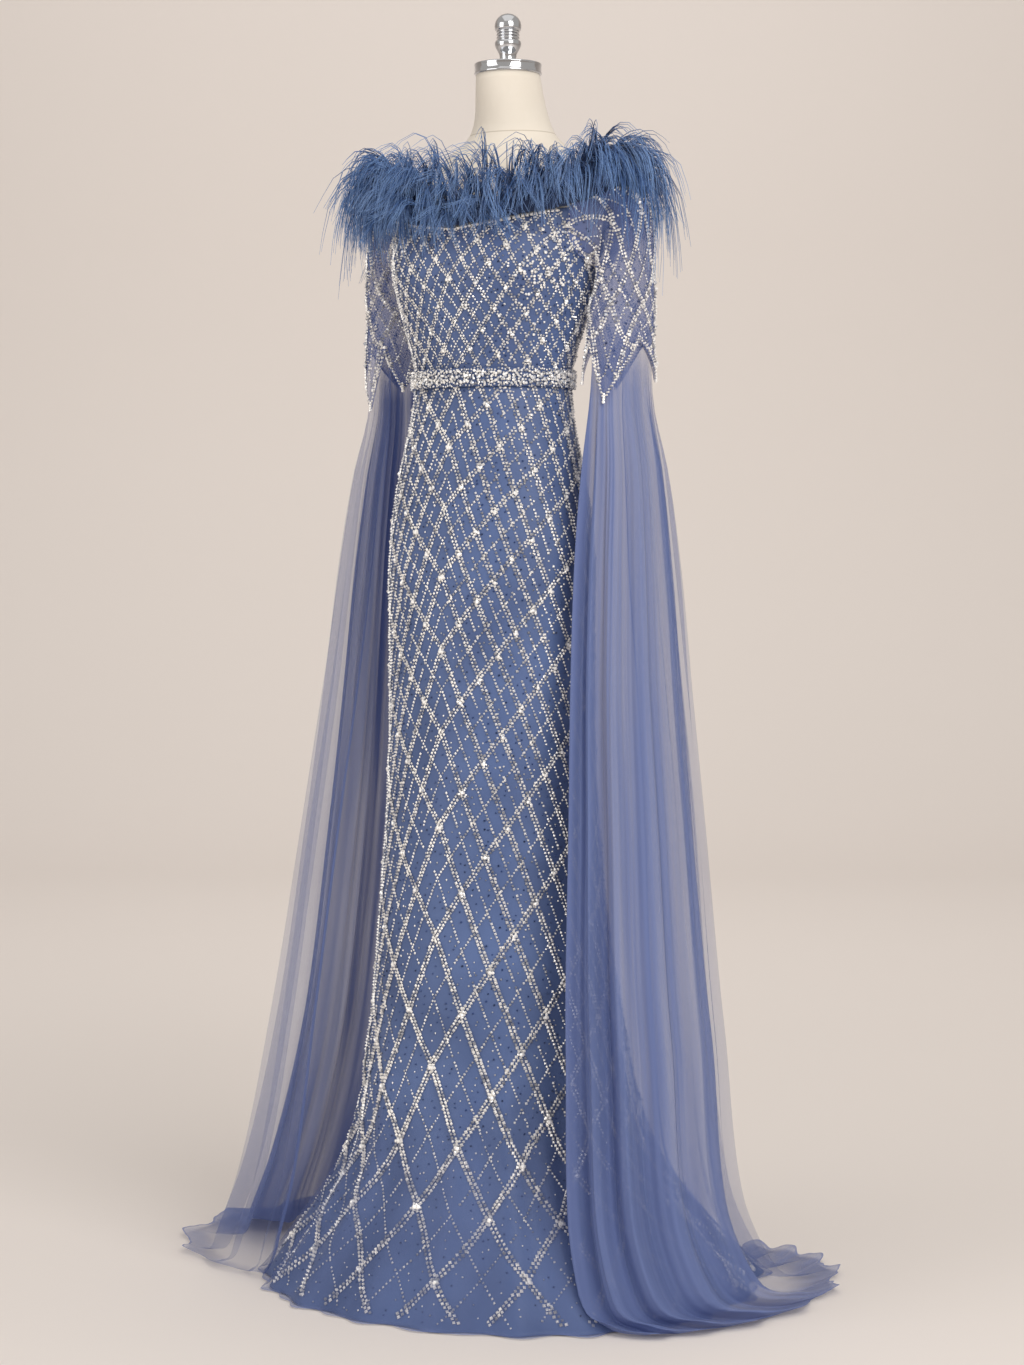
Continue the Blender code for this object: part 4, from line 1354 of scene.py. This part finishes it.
@dataclass
class Bodice:
    """The bodice: front and two backs, its close lattice and the row of beads at its edge."""

    columns: int = 60
    rows: int = 34
    wall: float = 0.0014
    uneven: float = 0.0006
    edge_bead: float = 0.0062
    edge_stride: float = 0.0052
    edge_drop: float = 0.0032
    small_bead: float = 0.0030
    small_drop: float = 0.0046
    shoulder: float = 34.0
    sequins_z: float = 1.345
    sequins_rise: float = 0.035

    def surface(self, degrees: float, z: float) -> Vector:
        """A point of the satin."""
        outward = SKIN_GAP + CLOTH / 2.0
        point = body_point(degrees, z, outward)
        return body_point(degrees, z, outward + abs(rumple(point, self.uneven)))

    def panel(self, start: float, end: float) -> Place:
        """The placing of one cut, from seam to seam and from the waist to the edge."""
        bottom = WAIST_Z + SEAM_GAP / 2.0

        def place(u: float, v: float) -> Vector:
            """A point of the cut."""
            degrees = start + SEAM_ANGLE + (end - start - 2.0 * SEAM_ANGLE) * u
            return self.surface(degrees, bottom + (bodice_top(degrees) - bottom) * v)
        return place

    def cuts(self, finishes: Tailoring) -> None:
        """The three cuts of satin."""
        for name, start, end in (("front", -180.0, 0.0), ("back_left", 0.0, 90.0),
                                 ("back_right", 90.0, 180.0)):
            share = (end - start) / 180.0
            shape = cloth_grid(self.panel(start, end), round(self.columns * share), self.rows,
                               (0.43 * share, 0.20))
            piece = make_piece("bodice_satin_" + name, shape, finishes.satin, self.wall)
            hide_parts("bodice_" + name)

    def edge(self, main: Beading, rng: random.Random) -> None:
        """A row of larger beads along the neckline and round the armholes."""
        arcs = 0.0
        last = self.surface(-180.0, bodice_top(-180.0))
        for step in range(1, 1441):
            degrees = -180.0 + 0.25 * step
            point = self.surface(degrees, bodice_top(degrees) - self.edge_drop)
            arcs += (point - last).length
            last = point
            if arcs >= self.edge_stride and (point.z < ARMHOLE_Z
                                             or away_from_side(degrees) > self.shoulder):
                arcs = 0.0
                outward = Vector((math.cos(math.radians(degrees)),
                                  math.sin(math.radians(degrees)), 0.2)).normalized()
                main.beads.sew(point + outward * 0.0008, outward,
                               self.edge_bead * rng.uniform(0.9, 1.1), rng.uniform(0.5, 1.0))
                below = point - Vector((0.0, 0.0, self.small_drop))
                main.beads.sew(below, outward, self.small_bead, rng.random())

    def sequins(self, main: Beading, rng: random.Random) -> None:
        """Larger stones, thickest by the armholes and over the wearer's left bust."""
        for count, centre, spread in ((95, -38.0, 12.0), (45, -142.0, 12.0)):
            for _ in range(count):
                degrees = centre + rng.gauss(0.0, spread)
                z = self.sequins_z + rng.gauss(0.0, self.sequins_rise)
                if WAIST_Z + 0.02 < z < bodice_top(degrees) - 0.006:
                    point = self.surface(degrees, z)
                    normal = (point - Vector((0.0, -0.02, z))).normalized()
                    main.crystals.sew(point, normal, rng.uniform(0.0030, 0.0050), rng.random())

    def embroider(self, finishes: Tailoring, silver: BeadWork, navy: BeadWork,
                  rng: random.Random) -> None:
        """Sew the lattice and the edge."""
        arcs = ArcMap(lambda degrees, z: body_point(degrees, z, 0.002), WAIST_Z + 0.012, 1.424,
                      step=0.008)
        lattice = Lattice(rows_of(Reading, (1.20, 0.058), (1.34, 0.056), (1.42, 0.052)),
                          rows_of(Reading, (1.2, 1.9), (1.42, 1.5)),
                          rows_of(Reading, (1.2, 1.3), (1.42, 1.1)), anchor=1.215)
        work = Embroidery(self.surface, arcs, lattice,
                          lambda degrees: (WAIST_Z + 0.013, bodice_top(degrees) - 0.003), rng,
                          bead=0.0036, stride=0.0042, rows_apart=0.0035, thin_bead=0.0034,
                          thin_stride=0.0042, crystal=0.0048, scatter_step=0.0085)
        main = Beading.named("bodice", finishes)
        work.sew(main, main, main, silver, navy)
        self.edge(main, rng)
        self.sequins(main, rng)
        for piece in main.build():
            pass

    def build(self, finishes: Tailoring, silver: BeadWork, navy: BeadWork,
              rng: random.Random) -> None:
        """Cut and embroider the bodice."""
        self.cuts(finishes)
        self.embroider(finishes, silver, navy, rng)


@dataclass
class Belt:
    """The band over the waist seam, packed with rows of beads and crystals."""

    rows: int = 7
    beads_round: int = 178
    bead: float = 0.0036
    sway_degrees: float = 0.8
    sway_height: float = 0.0015
    bead_share: float = 0.55

    def surface(self, degrees: float, z: float) -> Vector:
        """A point of the band's outer face."""
        return body_point(degrees, z, SKIN_GAP + CLOTH + BELT_GAP + BELT_THICKNESS * 0.55)

    def build(self, finishes: Tailoring, rng: random.Random) -> None:
        """The band and its beads."""
        bottom = WAIST_Z - BELT_HEIGHT / 2.0
        thickness = BELT_THICKNESS * 0.5
        outward = SKIN_GAP + CLOTH + BELT_GAP + thickness / 2.0

        def place(u: float, v: float) -> Vector:
            """A point in the middle of the band."""
            return body_point(-180.0 + 360.0 * u, bottom + BELT_HEIGHT * v, outward)

        shape = cloth_grid(place, 120, 4, (0.62, BELT_HEIGHT), closed=True)
        band = make_piece("belt_band", shape, finishes.satin, thickness)
        work = Beading.named("belt", finishes)
        for row in range(self.rows):
            level = bottom + BELT_HEIGHT * (row + 0.5) / self.rows
            count = self.beads_round - 4 * (row % 2)
            for number in range(count):
                degrees = 360.0 * (number + 0.5 * (row % 2)) / count
                degrees += rng.uniform(-self.sway_degrees, self.sway_degrees)
                z = level + rng.uniform(-self.sway_height, self.sway_height)
                here = self.surface(degrees, z)
                ahead = self.surface(degrees + 1.0, z) - here
                normal = Vector((ahead.y, -ahead.x, 0.0)).normalized()
                edge = row in (0, self.rows - 1)
                width = self.bead * (0.85 if edge else rng.uniform(0.75, 1.45))
                beads = edge or rng.random() < self.bead_share
                target = work.beads if beads else work.crystals
                target.sew(here, normal, width, rng.random())
        pieces = work.build()
        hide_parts("belt")
        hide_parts("belt")


@dataclass
class Sleeve:
    """One short sheer sleeve with its lattice and its pointed, beaded hem."""

    side: float
    columns: int = 80
    rows: int = 40
    around: float = 0.290
    length: float = 0.215
    cells: int = 6
    cell_height: float = 0.42
    bead: float = 0.0040
    thin_bead: float = 0.0032
    hem_bead: float = 0.0034
    inner_bead: float = 0.0030
    stride: float = 0.0044
    rows_apart: float = 0.0038
    hem_rows_apart: float = 0.0036
    first_line: float = 20.0
    top_line: float = 0.03
    bottom_line: float = 0.985
    hem_line: float = 0.99
    crystal_share: float = 0.14
    hanging_point_z: float = 1.21
    loose_beads: int = 380
    silver_share: float = 0.6
    dense_shaded_top: float = 0.72
    open_net: float = 0.56

    @property
    def name(self) -> str:
        """Left or right, as the wearer's."""
        return "left" if self.side > 0.0 else "right"

    def surface(self, degrees: float, down: float, outward: float = 0.0) -> Vector:
        """A point of the sleeve, on its own side."""
        point = sleeve_point(degrees, down, outward)
        return Vector((self.side * point.x, point.y, point.z))

    def cloth(self, finish: bpy.types.Material) -> None:
        """The sleeve's net."""
        def place(u: float, v: float) -> Vector:
            """A point of the net."""
            degrees, down = 360.0 * u - HEM_TURN, 1.0 - v
            soft = 0.0008 * math.sin(math.radians(degrees * 5.0)) * smooth_step(down * 2.0)
            return self.surface(degrees, down, soft)
        shape = cloth_grid(place, self.columns, self.rows, (self.around, self.length), closed=True,
                           gather=self.gather)
        piece = make_piece("sleeve_net_" + self.name, shape, finish)
        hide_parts("sleeve_" + self.name)

    def gather(self, _: float, v: float) -> float:
        """The net is dense at its rolled hem and where set into the armhole, which also paints
        shade there.
        """
        if v <= 0.02:
            return 0.9
        # Denser towards the armhole: net set into the seam, and painted shade in the armhole.
        return self.open_net + 0.36 * smooth_step((v - self.dense_shaded_top) / 0.2)

    def frame(self, degrees: float, down: float) -> tuple[Vector, Vector, Vector, Vector]:
        """A point of the sleeve, its normal, and the directions round and down."""
        here = self.surface(degrees, down)
        around = self.surface(degrees + 2.0, down) - here
        along = self.surface(degrees, min(down + 0.01, 1.0)) - self.surface(degrees, down - 0.01)
        normal = along.cross(around).normalized() * self.side
        return here, normal, around.normalized(), along.normalized()

    def diagonals(self, work: Beading, rng: random.Random) -> None:
        """Double lines of beads both ways round the sleeve, crossing in tall diamonds."""
        cell = 360.0 / self.cells
        pace = 0.01
        for turn in (1.0, -1.0):
            slant = turn * cell / self.cell_height
            for number in range(2 * self.cells):
                double = number % 2 == 0
                start = self.first_line + 0.5 * cell * number
                down = self.top_line
                while down < self.bottom_line:
                    degrees = start + slant * (down - self.top_line)
                    here, normal, _, _ = self.frame(degrees, down)
                    ahead = self.surface(degrees + slant * pace, down + pace) - here
                    line = ahead.normalized()
                    beside = normal.cross(line).normalized()
                    for row in (-0.5, 0.5) if double else (0.0,):
                        width = self.bead if double else self.thin_bead
                        width *= rng.uniform(0.8, 1.15)
                        spot = here + beside * (row * self.rows_apart)
                        spot += line * rng.uniform(-0.0004, 0.0004)
                        work.beads.sew(spot, normal, width, rng.random())
                    if double and rng.random() < self.crystal_share:
                        work.crystals.sew(here + normal * 0.0008, normal,
                                          rng.uniform(0.0040, 0.0058), rng.random())
                    down += pace * self.stride / max(ahead.length, 0.0006)

    def hem(self, work: Beading, rng: random.Random) -> None:
        """Two rows of beads along the points of the hem, with a drop at each point."""
        travelled, last = 0.0, self.surface(0.0, self.hem_line)
        for step in range(1, 1441):
            degrees = 0.25 * step
            point, normal, _, along = self.frame(degrees, self.hem_line)
            travelled += (point - last).length
            last = point
            if travelled >= self.stride:
                travelled = 0.0
                work.beads.sew(point, normal, self.hem_bead, rng.random())
                above = point - along * self.hem_rows_apart
                work.beads.sew(above, normal, self.inner_bead, rng.random())
        for low in SLEEVE_HEM:
            if low.z < self.hanging_point_z:
                point, normal, _, along = self.frame(low.away, 0.995)
                for number in range(4):
                    spot = point - along * (self.hem_bead * number)
                    work.crystals.sew(spot, normal, 0.0052 - 0.0005 * number, 0.9)

    def build(self, finishes: Tailoring, silver: BeadWork, navy: BeadWork,
              rng: random.Random) -> None:
        """Cut and embroider the sleeve."""
        self.cloth(finishes.net)
        work = Beading.named("sleeve_" + self.name, finishes)
        self.diagonals(work, rng)
        self.hem(work, rng)
        for piece in work.build():
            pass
        for _ in range(self.loose_beads):
            down = 0.03 + 0.93 * rng.random() ** 1.7
            here, normal, _, _ = self.frame(rng.uniform(0.0, 360.0), down)
            sewn = silver if rng.random() < self.silver_share else navy
            sewn.sew(here, normal, rng.uniform(0.0025, 0.0038), rng.random())


@dataclass
class CapePanel:
    """One long cape panel: sheer tulle from inside the sleeve's hem to its train."""

    side: float
    columns: int = 250
    rows: int = 72
    folds: float = 8.5
    drift: float = 0.35
    fine_folds: float = 19.0
    finest_folds: float = 37.0
    fine_depth: float = 0.0036
    finest_depth: float = 0.0014
    floor_clear: float = 0.0014
    spread: float = 0.93
    fall: float = 0.16
    floor: float = 0.8
    landing: float = 0.08
    pressed: float = 0.7
    raised: float = 0.35
    edge: float = 0.005
    hem_from: float = 0.994
    hem_dense: float = 0.92
    train_from: float = 0.78
    train_over: float = 0.14
    top_dense: float = 0.4
    top_over: float = 0.05

    def rings(self) -> Sequence[CapeRing]:
        """The rings of this side's panel."""
        return CAPE_TOP + (CAPE_TRAIN_LEFT if self.side > 0.0 else CAPE_TRAIN_RIGHT)

    def pleats(self, u: float, down: float) -> float:
        """The finer, uneven folds between the main ones, deeper as the cloth falls."""
        shift = 0.7 * math.sin(2.0 * math.pi * u + 1.3) + 0.35 * math.sin(9.0 * u + 3.0 * down)
        fine = math.sin(2.0 * math.pi * (self.fine_folds * u + shift))
        finest = math.sin(2.0 * math.pi * (self.finest_folds * u - 1.7 * shift))
        gather = 0.35 + 0.65 * (0.5 + 0.5 * math.sin(11.0 * u + 1.0))
        return gather * (self.fine_depth * fine + self.finest_depth * finest)

    def point(self, u: float, down: float) -> Vector:
        """A point of the panel; u runs from the front edge to the back edge."""
        ring = row_at(self.rings(), down)
        turn = math.radians(ring.start + (ring.end - ring.start) * u)
        phase = 2.0 * math.pi * (self.folds * u + self.drift * math.sin(2.0 * math.pi * u))
        fold = math.sin(phase)
        fall = smooth_step(down / self.fall)
        pleat = self.pleats(u, down) * fall * (1.0 if down < self.floor else self.pressed)
        outward = ring.wave * fold + pleat
        lying = smooth_step((down - self.floor) / self.landing)
        rise = lying * self.raised * (pleat + self.fine_depth)
        z = ring.z + ring.lift * (1.0 + fold) / 2.0 + rise
        point = outside_skirt(Vector((
            ring.x + (ring.half_width + outward) * math.cos(turn),
            ring.y + (ring.half_depth + outward) * math.sin(turn),
            max(z, self.floor_clear),
        )))
        return Vector((self.side * point.x, point.y, point.z))

    def gather(self, u: float, down: float) -> float:
        """How dense the tulle looks: thin where it turns outward, dense next to the skirt."""
        if min(u, 1.0 - u) < self.edge or down > self.hem_from:
            return self.hem_dense
        tulle = LEFT_TULLE if self.side > 0.0 else RIGHT_TULLE
        share = tulle.front + tulle.change * smooth_step((u - tulle.start) / tulle.over)
        lying = smooth_step((down - self.train_from) / self.train_over) * tulle.train
        top = self.top_dense + (1.0 - self.top_dense) * smooth_step(down / self.top_over)
        return max(share, lying) * top

    def build(self, finishes: Tailoring) -> None:
        """Cut the panel and hang it."""
        name = "left" if self.side > 0.0 else "right"
        shape = cloth_grid(lambda u, v: self.point(u, (1.0 - v) ** self.spread),
                           self.columns, self.rows, (1.1, 1.65),
                           gather=lambda u, v: self.gather(u, (1.0 - v) ** self.spread))
        piece = make_piece("cape_net_" + name, shape, finishes.net)
        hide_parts("cape_" + name)


# How far out and up each of a barb's three stretches goes, for low, middle and high tufts.
FRONT_REACH = (
    (0.012, 0.006, 0.012, -0.004, 0.003, -0.016),
    (0.014, 0.020, 0.020, 0.010, 0.014, -0.020),
    (0.004, 0.034, 0.012, 0.026, 0.022, -0.002),
)
SIDE_REACH = (
    (0.031, 0.002, 0.029, -0.044, 0.006, -0.066),
    (0.030, 0.012, 0.034, -0.010, 0.016, -0.040),
    (0.016, 0.022, 0.028, 0.014, 0.028, -0.010),
)


@dataclass
class FeatherCollar:
    """The ostrich collar: curled, tapering barbs in tufts round a dark backing strip of down and
    painted shade.

    A tuft leans, bends, hooks and stands as deep as its own draws say, and the stray values are
    how far its barbs differ from that.
    """

    tufts: int = 1400
    barbs: int = 5
    joints: int = 8
    thickness: float = 0.00092
    taper: float = 0.78
    shoulder_width: float = 62.0
    bare: tuple[float, float] = (-62.0, -6.0)
    bare_below: float = 1.15
    bare_kept: float = 0.45
    tall_at: float = -95.0
    tall_width: float = 72.0
    taller: float = 0.36
    own_tone: float = 0.8
    lean: float = 0.72
    bend: float = 0.026
    size: tuple[float, float] = (0.50, 1.22)
    hook: tuple[float, float] = (-0.010, 0.036)
    depth: float = 0.006
    high_from: float = 0.7
    high_over: float = 0.6
    high_hook: float = 0.014
    grown: float = 1.04
    stray_row: float = 0.05
    stray_degrees: float = 0.32
    stray_size: tuple[float, float] = (0.78, 1.12)
    stray_lean: float = 0.05
    stray_hook: float = 0.0025
    stray_bend: float = 0.0022
    lowest_root: float = 0.1
    root_rise: float = 0.4
    down_segments: tuple[int, int] = (300, 18)
    down_middle: float = 0.55
    down_out: tuple[float, float] = (0.006, 0.007)
    down_tall: tuple[float, float] = (0.014, 0.004)
    tuck_in: float = 0.30
    tuck_under: float = 0.72
    rough: tuple = ((160.0, 0.0022), (420.0, 0.0012))

    def reach(self, row: float, shoulder: float) -> list[tuple[float, float]]:
        """How far out and up the three stretches of a barb go, by its row from 0 to 2."""
        low = min(int(row), 1)
        front, side = ([start + (end - start) * (row - low)
                        for start, end in zip(table[low], table[low + 1])]
                       for table in (FRONT_REACH, SIDE_REACH))
        values = [start + (end - start) * shoulder for start, end in zip(front, side)]
        return list(zip(values[::2], values[1::2]))

    def barb(self, root: Vector, outward: Vector, row: float, shoulder: float, length: float,
             turn: float, curl: float, side_curl: float) -> list[Vector]:
        """The points of one barb from its root to its tip."""
        sideways = Vector((-outward.y, outward.x, 0.0))
        heading = (outward * math.cos(turn) + sideways * math.sin(turn)).normalized()
        aside = Vector((-heading.y, heading.x, 0.0))
        corners = [root]
        for out, up in self.reach(row, shoulder):
            corners.append(corners[-1] + (heading * out + Vector((0.0, 0.0, up))) * length)
        points = []
        for joint in range(self.joints):
            t = 3.0 * joint / (self.joints - 1)
            low = min(int(t), 2)
            share = t - low
            before = corners[max(low - 1, 0)]
            after = corners[min(low + 2, 3)]
            leave = (corners[low + 1] - before) * 0.5
            arrive = (after - corners[low]) * 0.5
            rise = corners[low + 1] - corners[low]
            point = corners[low] + leave * share
            point += (rise * 3.0 - leave * 2.0 - arrive) * share ** 2
            point += (leave + arrive - rise * 2.0) * share ** 3
            along = joint / (self.joints - 1)
            points.append(point + aside * (side_curl * along * along)
                          - (heading * 0.45 + Vector((0.0, 0.0, 1.0))) * (curl * along ** 3))
        return points

    def grow(self, rng: random.Random) -> tuple[list, list, list, list, list]:
        """Every barb's points, links, width, tint and share of its length."""
        points: list[tuple] = []
        links: list[tuple[int, int]] = []
        width: list[float] = []
        tint: list[float] = []
        along: list[float] = []
        for tuft in range(self.tufts):
            degrees = 360.0 * (tuft + rng.uniform(-0.4, 0.4)) / self.tufts
            shoulder = smooth_step(1.0 - away_from_side(degrees) / self.shoulder_width)
            outward = collar_outward(degrees)
            row, turn = rng.uniform(0.0, 2.0), math.degrees(signed_angle(degrees))
            if self.bare[0] < turn < self.bare[1] and row < self.bare_below:
                above = 2.0 - self.bare_below
                kept = rng.random() < self.bare_kept
                row = self.bare_below + above * rng.random() if kept else 3.0
            lean, bend = rng.gauss(0.0, self.lean), rng.gauss(0.0, self.bend)
            size, tone = rng.uniform(*self.size), rng.random()
            hook, depth = rng.uniform(*self.hook), rng.uniform(0.0, self.depth)
            near = smooth_step(1.0 - abs(turn - self.tall_at) / self.tall_width)
            high = smooth_step((row - self.high_from) / self.high_over)
            size *= self.grown + self.taller * near * high
            hook += self.high_hook * high
            if row > 2.0:
                continue
            for _ in range(self.barbs):
                level = min(max(row + rng.gauss(0.0, self.stray_row), 0.0), 2.0)
                root = collar_point(degrees + rng.gauss(0.0, self.stray_degrees))
                root.z += STRIP_HEIGHT * (self.lowest_root + self.root_rise * level)
                root += outward * depth
                path = self.barb(root, outward, level, shoulder,
                                 size * rng.uniform(*self.stray_size),
                                 lean + rng.gauss(0.0, self.stray_lean),
                                 hook + rng.gauss(0.0, self.stray_hook),
                                 bend + rng.gauss(0.0, self.stray_bend))
                first = len(points)
                points += [tuple(point) for point in path]
                links += [(first + n, first + n + 1) for n in range(self.joints - 1)]
                for joint in range(self.joints):
                    share = joint / (self.joints - 1)
                    width.append(self.thickness * (1.0 - self.taper * share))
                    tint.append(self.own_tone * tone + (1.0 - self.own_tone) * rng.random())
                    along.append(share)
        return points, links, width, tint, along

    def build(self, finishes: Tailoring, rng: random.Random) -> None:
        """Grow the feathers in two halves, left and right, and their backing of down, dark as
        painted shade.
        """
        points, links, width, tint, along = self.grow(rng)
        for name, side in (("left", 1.0), ("right", -1.0)):
            kept = [first for first in range(0, len(points), self.joints)
                    if side * points[first][0] >= 0.0]
            chosen = [first + joint for first in kept for joint in range(self.joints)]
            place = {old: new for new, old in enumerate(chosen)}
            mesh = bpy.data.meshes.new("barbs")
            mesh.from_pydata([points[index] for index in chosen],
                             [(place[a], place[b]) for a, b in links if a in place], [])
            for layer, values in (("width", width), ("tint", tint), ("along", along)):
                data = mesh.attributes.new(layer, "FLOAT", "POINT").data
                data.foreach_set("value", [values[index] for index in chosen])
            nodes = NodeBuild("feathers_" + name)
            lines = nodes.add("GeometryNodeMeshToCurve", {"Mesh": nodes.source})
            ring = nodes.add("GeometryNodeCurvePrimitiveCircle", {"Resolution": 3, "Radius": 1.0})
            swept = nodes.add("GeometryNodeCurveToMesh", {
                "Curve": lines.outputs["Curve"], "Profile Curve": ring.outputs["Curve"],
                "Scale": nodes.own("width"), "Fill Caps": True})
            piece = nodes.finish(mesh, swept.outputs["Mesh"], finishes.feather)
            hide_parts("feather_collar")
        self.backing(finishes.feather)

    def backing(self, finish: bpy.types.Material) -> None:
        """The dense down that the barbs grow out of; its dark colour paints the shade deep in the
        collar.
        """
        def place(u: float, v: float) -> Vector:
            """A point of the rough tube; v runs round it."""
            degrees = -180.0 + 360.0 * u
            turn = 2.0 * math.pi * v
            shoulder = smooth_step(1.0 - away_from_side(degrees) / self.shoulder_width)
            outward = collar_outward(degrees)
            out, tall = (start + more * shoulder
                         for start, more in (self.down_out, self.down_tall))
            point = collar_point(degrees) + Vector((0.0, 0.0, STRIP_HEIGHT * self.down_middle))
            point += outward * (out * (1.0 + math.cos(turn)))
            point.z += tall * math.sin(turn)
            hollow = max(-math.sin(turn), 0.0) * row_at(COLLAR_RISE, away_from_side(degrees)).rise
            point -= outward * (self.tuck_in * hollow)
            point.z -= self.tuck_under * hollow
            rough = sum(noise.noise(point * scale) * height for scale, height in self.rough)
            return point + (outward * math.cos(turn) + Vector((0.0, 0.0, math.sin(turn)))) * rough
        shape = bmesh.new()
        columns, rows = self.down_segments
        bmesh.ops.create_grid(shape, x_segments=columns, y_segments=rows, size=0.5)
        for vert in shape.verts:
            vert.co = place(vert.co.x + 0.5, vert.co.y + 0.5)
        bmesh.ops.remove_doubles(shape, verts=shape.verts, dist=TINY)
        bmesh.ops.recalc_face_normals(shape, faces=shape.faces)
        # The down wears the plume's root colour, which paints the shade in the collar's core.
        piece = make_piece("feather_down", shape, finish)
        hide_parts("feather_collar")


@dataclass(frozen=True)
class Lamp:
    """One large soft light, turned towards the gown or the backdrop.

    azimuth is where it stands, 0 in front and 90 at the wearer's left; aim is how high it points,
    beyond how far behind the gown, and shape its height over its width.
    """

    name: str
    azimuth: float
    distance: float
    height: float
    size: float
    power: float
    colour: tuple[float, float, float]
    aim: float = 0.85
    beyond: float = 0.0
    shape: float = 1.3

    def hang(self, view: float) -> None:
        """Hang the light; view is the camera's azimuth in radians."""
        light = bpy.data.lights.new(self.name, "AREA")
        light.shape, light.size, light.size_y = "RECTANGLE", self.size, self.size * self.shape
        light.energy, light.color = self.power, self.colour
        turn = math.radians(self.azimuth)
        place = Vector((math.sin(turn) * self.distance, -math.cos(turn) * self.distance,
                        self.height))
        target = Vector((-math.sin(view) * self.beyond, math.cos(view) * self.beyond, self.aim))
        lamp = bpy.data.objects.new(self.name, light)
        lamp.location = place
        lamp.rotation_euler = (target - place).to_track_quat("-Z", "Y").to_euler()
        bpy.context.scene.collection.objects.link(lamp)


LAMPS = (
    Lamp("key", 60.0, 4.2, 2.9, 2.6, 140.0, (1.0, 0.98, 0.955)),
    Lamp("fill", -25.0, 4.6, 1.9, 3.0, 62.0, (1.0, 0.985, 0.97)),
    Lamp("above", 33.0, 0.6, 4.4, 3.2, 20.0, (1.0, 0.985, 0.97), 0.0),
    Lamp("behind", 213.0, 3.4, 4.9, 3.0, 84.0, (1.0, 0.985, 0.975), 1.2, 7.4),
)


@dataclass
class Studio:
    """A pale seamless floor and wall, soft window-like light, and the camera."""

    azimuth: float = 33.0
    distance: float = 4.0
    eye: float = 0.95
    focal: float = 79.12
    axis_shift: float = 0.0053
    pitch: float = 2.13
    floor_front: float = -40.0
    floor_back: float = 5.4
    sweep: float = 2.2
    wall_top: float = 9.0
    width: float = 60.0
    room: Colour = srgb(232, 227, 221)
    room_light: float = 0.60

    def backdrop(self) -> None:
        """A floor that sweeps up into a wall behind the gown, square to the camera."""
        profile = [(self.floor_front, 0.0), (self.floor_back, 0.0)]
        profile += [(self.floor_back + self.sweep * math.sin(t), self.sweep * (1.0 - math.cos(t)))
                    for t in [math.radians(9.0 * step) for step in range(1, 11)]]
        profile += [(self.floor_back + self.sweep, self.wall_top)]
        shape = bmesh.new()
        points = [shape.verts.new((-self.width / 2.0, y, z)) for y, z in profile]
        lines = [shape.edges.new(pair) for pair in zip(points, points[1:])]
        swept = bmesh.ops.extrude_edge_only(shape, edges=lines)
        moved = [item for item in swept["geom"] if isinstance(item, bmesh.types.BMVert)]
        bmesh.ops.translate(shape, verts=moved, vec=(self.width, 0.0, 0.0))
        bmesh.ops.rotate(shape, verts=shape.verts, cent=(0.0, 0.0, 0.0),
                         matrix=Matrix.Rotation(math.radians(self.azimuth), 3, "Z"))
        bmesh.ops.recalc_face_normals(shape, faces=shape.faces)
        mesh = bpy.data.meshes.new("studio_sweep")
        shape.to_mesh(mesh)
        shape.free()
        mesh.shade_smooth()
        mesh.materials.append(Paper().material())
        sweep = bpy.data.objects.new("studio_sweep", mesh)
        bpy.context.scene.collection.objects.link(sweep)

    def lights(self) -> None:
        """A key from the front, a fill from the other side, two more, and a pale room."""
        for lamp in LAMPS:
            lamp.hang(math.radians(self.azimuth))
        world = bpy.data.worlds.new("pale_room")
        world.use_nodes = True
        shade = world.node_tree.nodes["Background"]
        shade.inputs["Color"].default_value = self.room
        shade.inputs["Strength"].default_value = self.room_light
        bpy.context.scene.world = world

    def camera(self) -> None:
        """The camera, at the photograph's angle and distance."""
        turn = math.radians(self.azimuth)
        right = Vector((math.cos(turn), math.sin(turn), 0.0))
        place = Vector((math.sin(turn) * self.distance, -math.cos(turn) * self.distance, self.eye))
        drop = self.distance * math.tan(math.radians(self.pitch))
        target = Vector((0.0, 0.0, self.eye - drop)) + right * self.axis_shift
        data = bpy.data.cameras.new("camera")
        data.lens, data.sensor_width, data.sensor_fit = self.focal, 36.0, "AUTO"
        camera = bpy.data.objects.new("camera", data)
        camera.location = place
        camera.rotation_euler = (target - place).to_track_quat("-Z", "Y").to_euler()
        bpy.context.scene.collection.objects.link(camera)
        bpy.context.scene.camera = camera

    def build(self) -> None:
        """Set up the studio."""
        self.backdrop()
        self.lights()
        self.camera()
        scene = bpy.context.scene
        scene.view_settings.view_transform = "Standard"
        scene.cycles.transparent_max_bounces = 48
        scene.cycles.use_denoising = True


def main() -> None:
    """Build the gown, its stand and the studio, in order."""
    logging.basicConfig(level=logging.INFO, format="%(message)s", stream=sys.stdout)
    rng = random.Random(7)
    Studio().build()
    finishes = Tailoring()
    silver = BeadWork("scattered_silver", finishes.silver)
    navy = BeadWork("scattered_navy", finishes.navy)
    DressForm().build(finishes)
    Skirt().build(finishes, silver, navy, rng)
    Bodice().build(finishes, silver, navy, rng)
    Belt().build(finishes, rng)
    for side in (1.0, -1.0):
        Sleeve(side).build(finishes, silver, navy, rng)
        CapePanel(side).build(finishes)
    FeatherCollar().build(finishes, rng)
    for work in (silver, navy):
        work.build()
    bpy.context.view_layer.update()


if __name__ == "__main__":
    main()
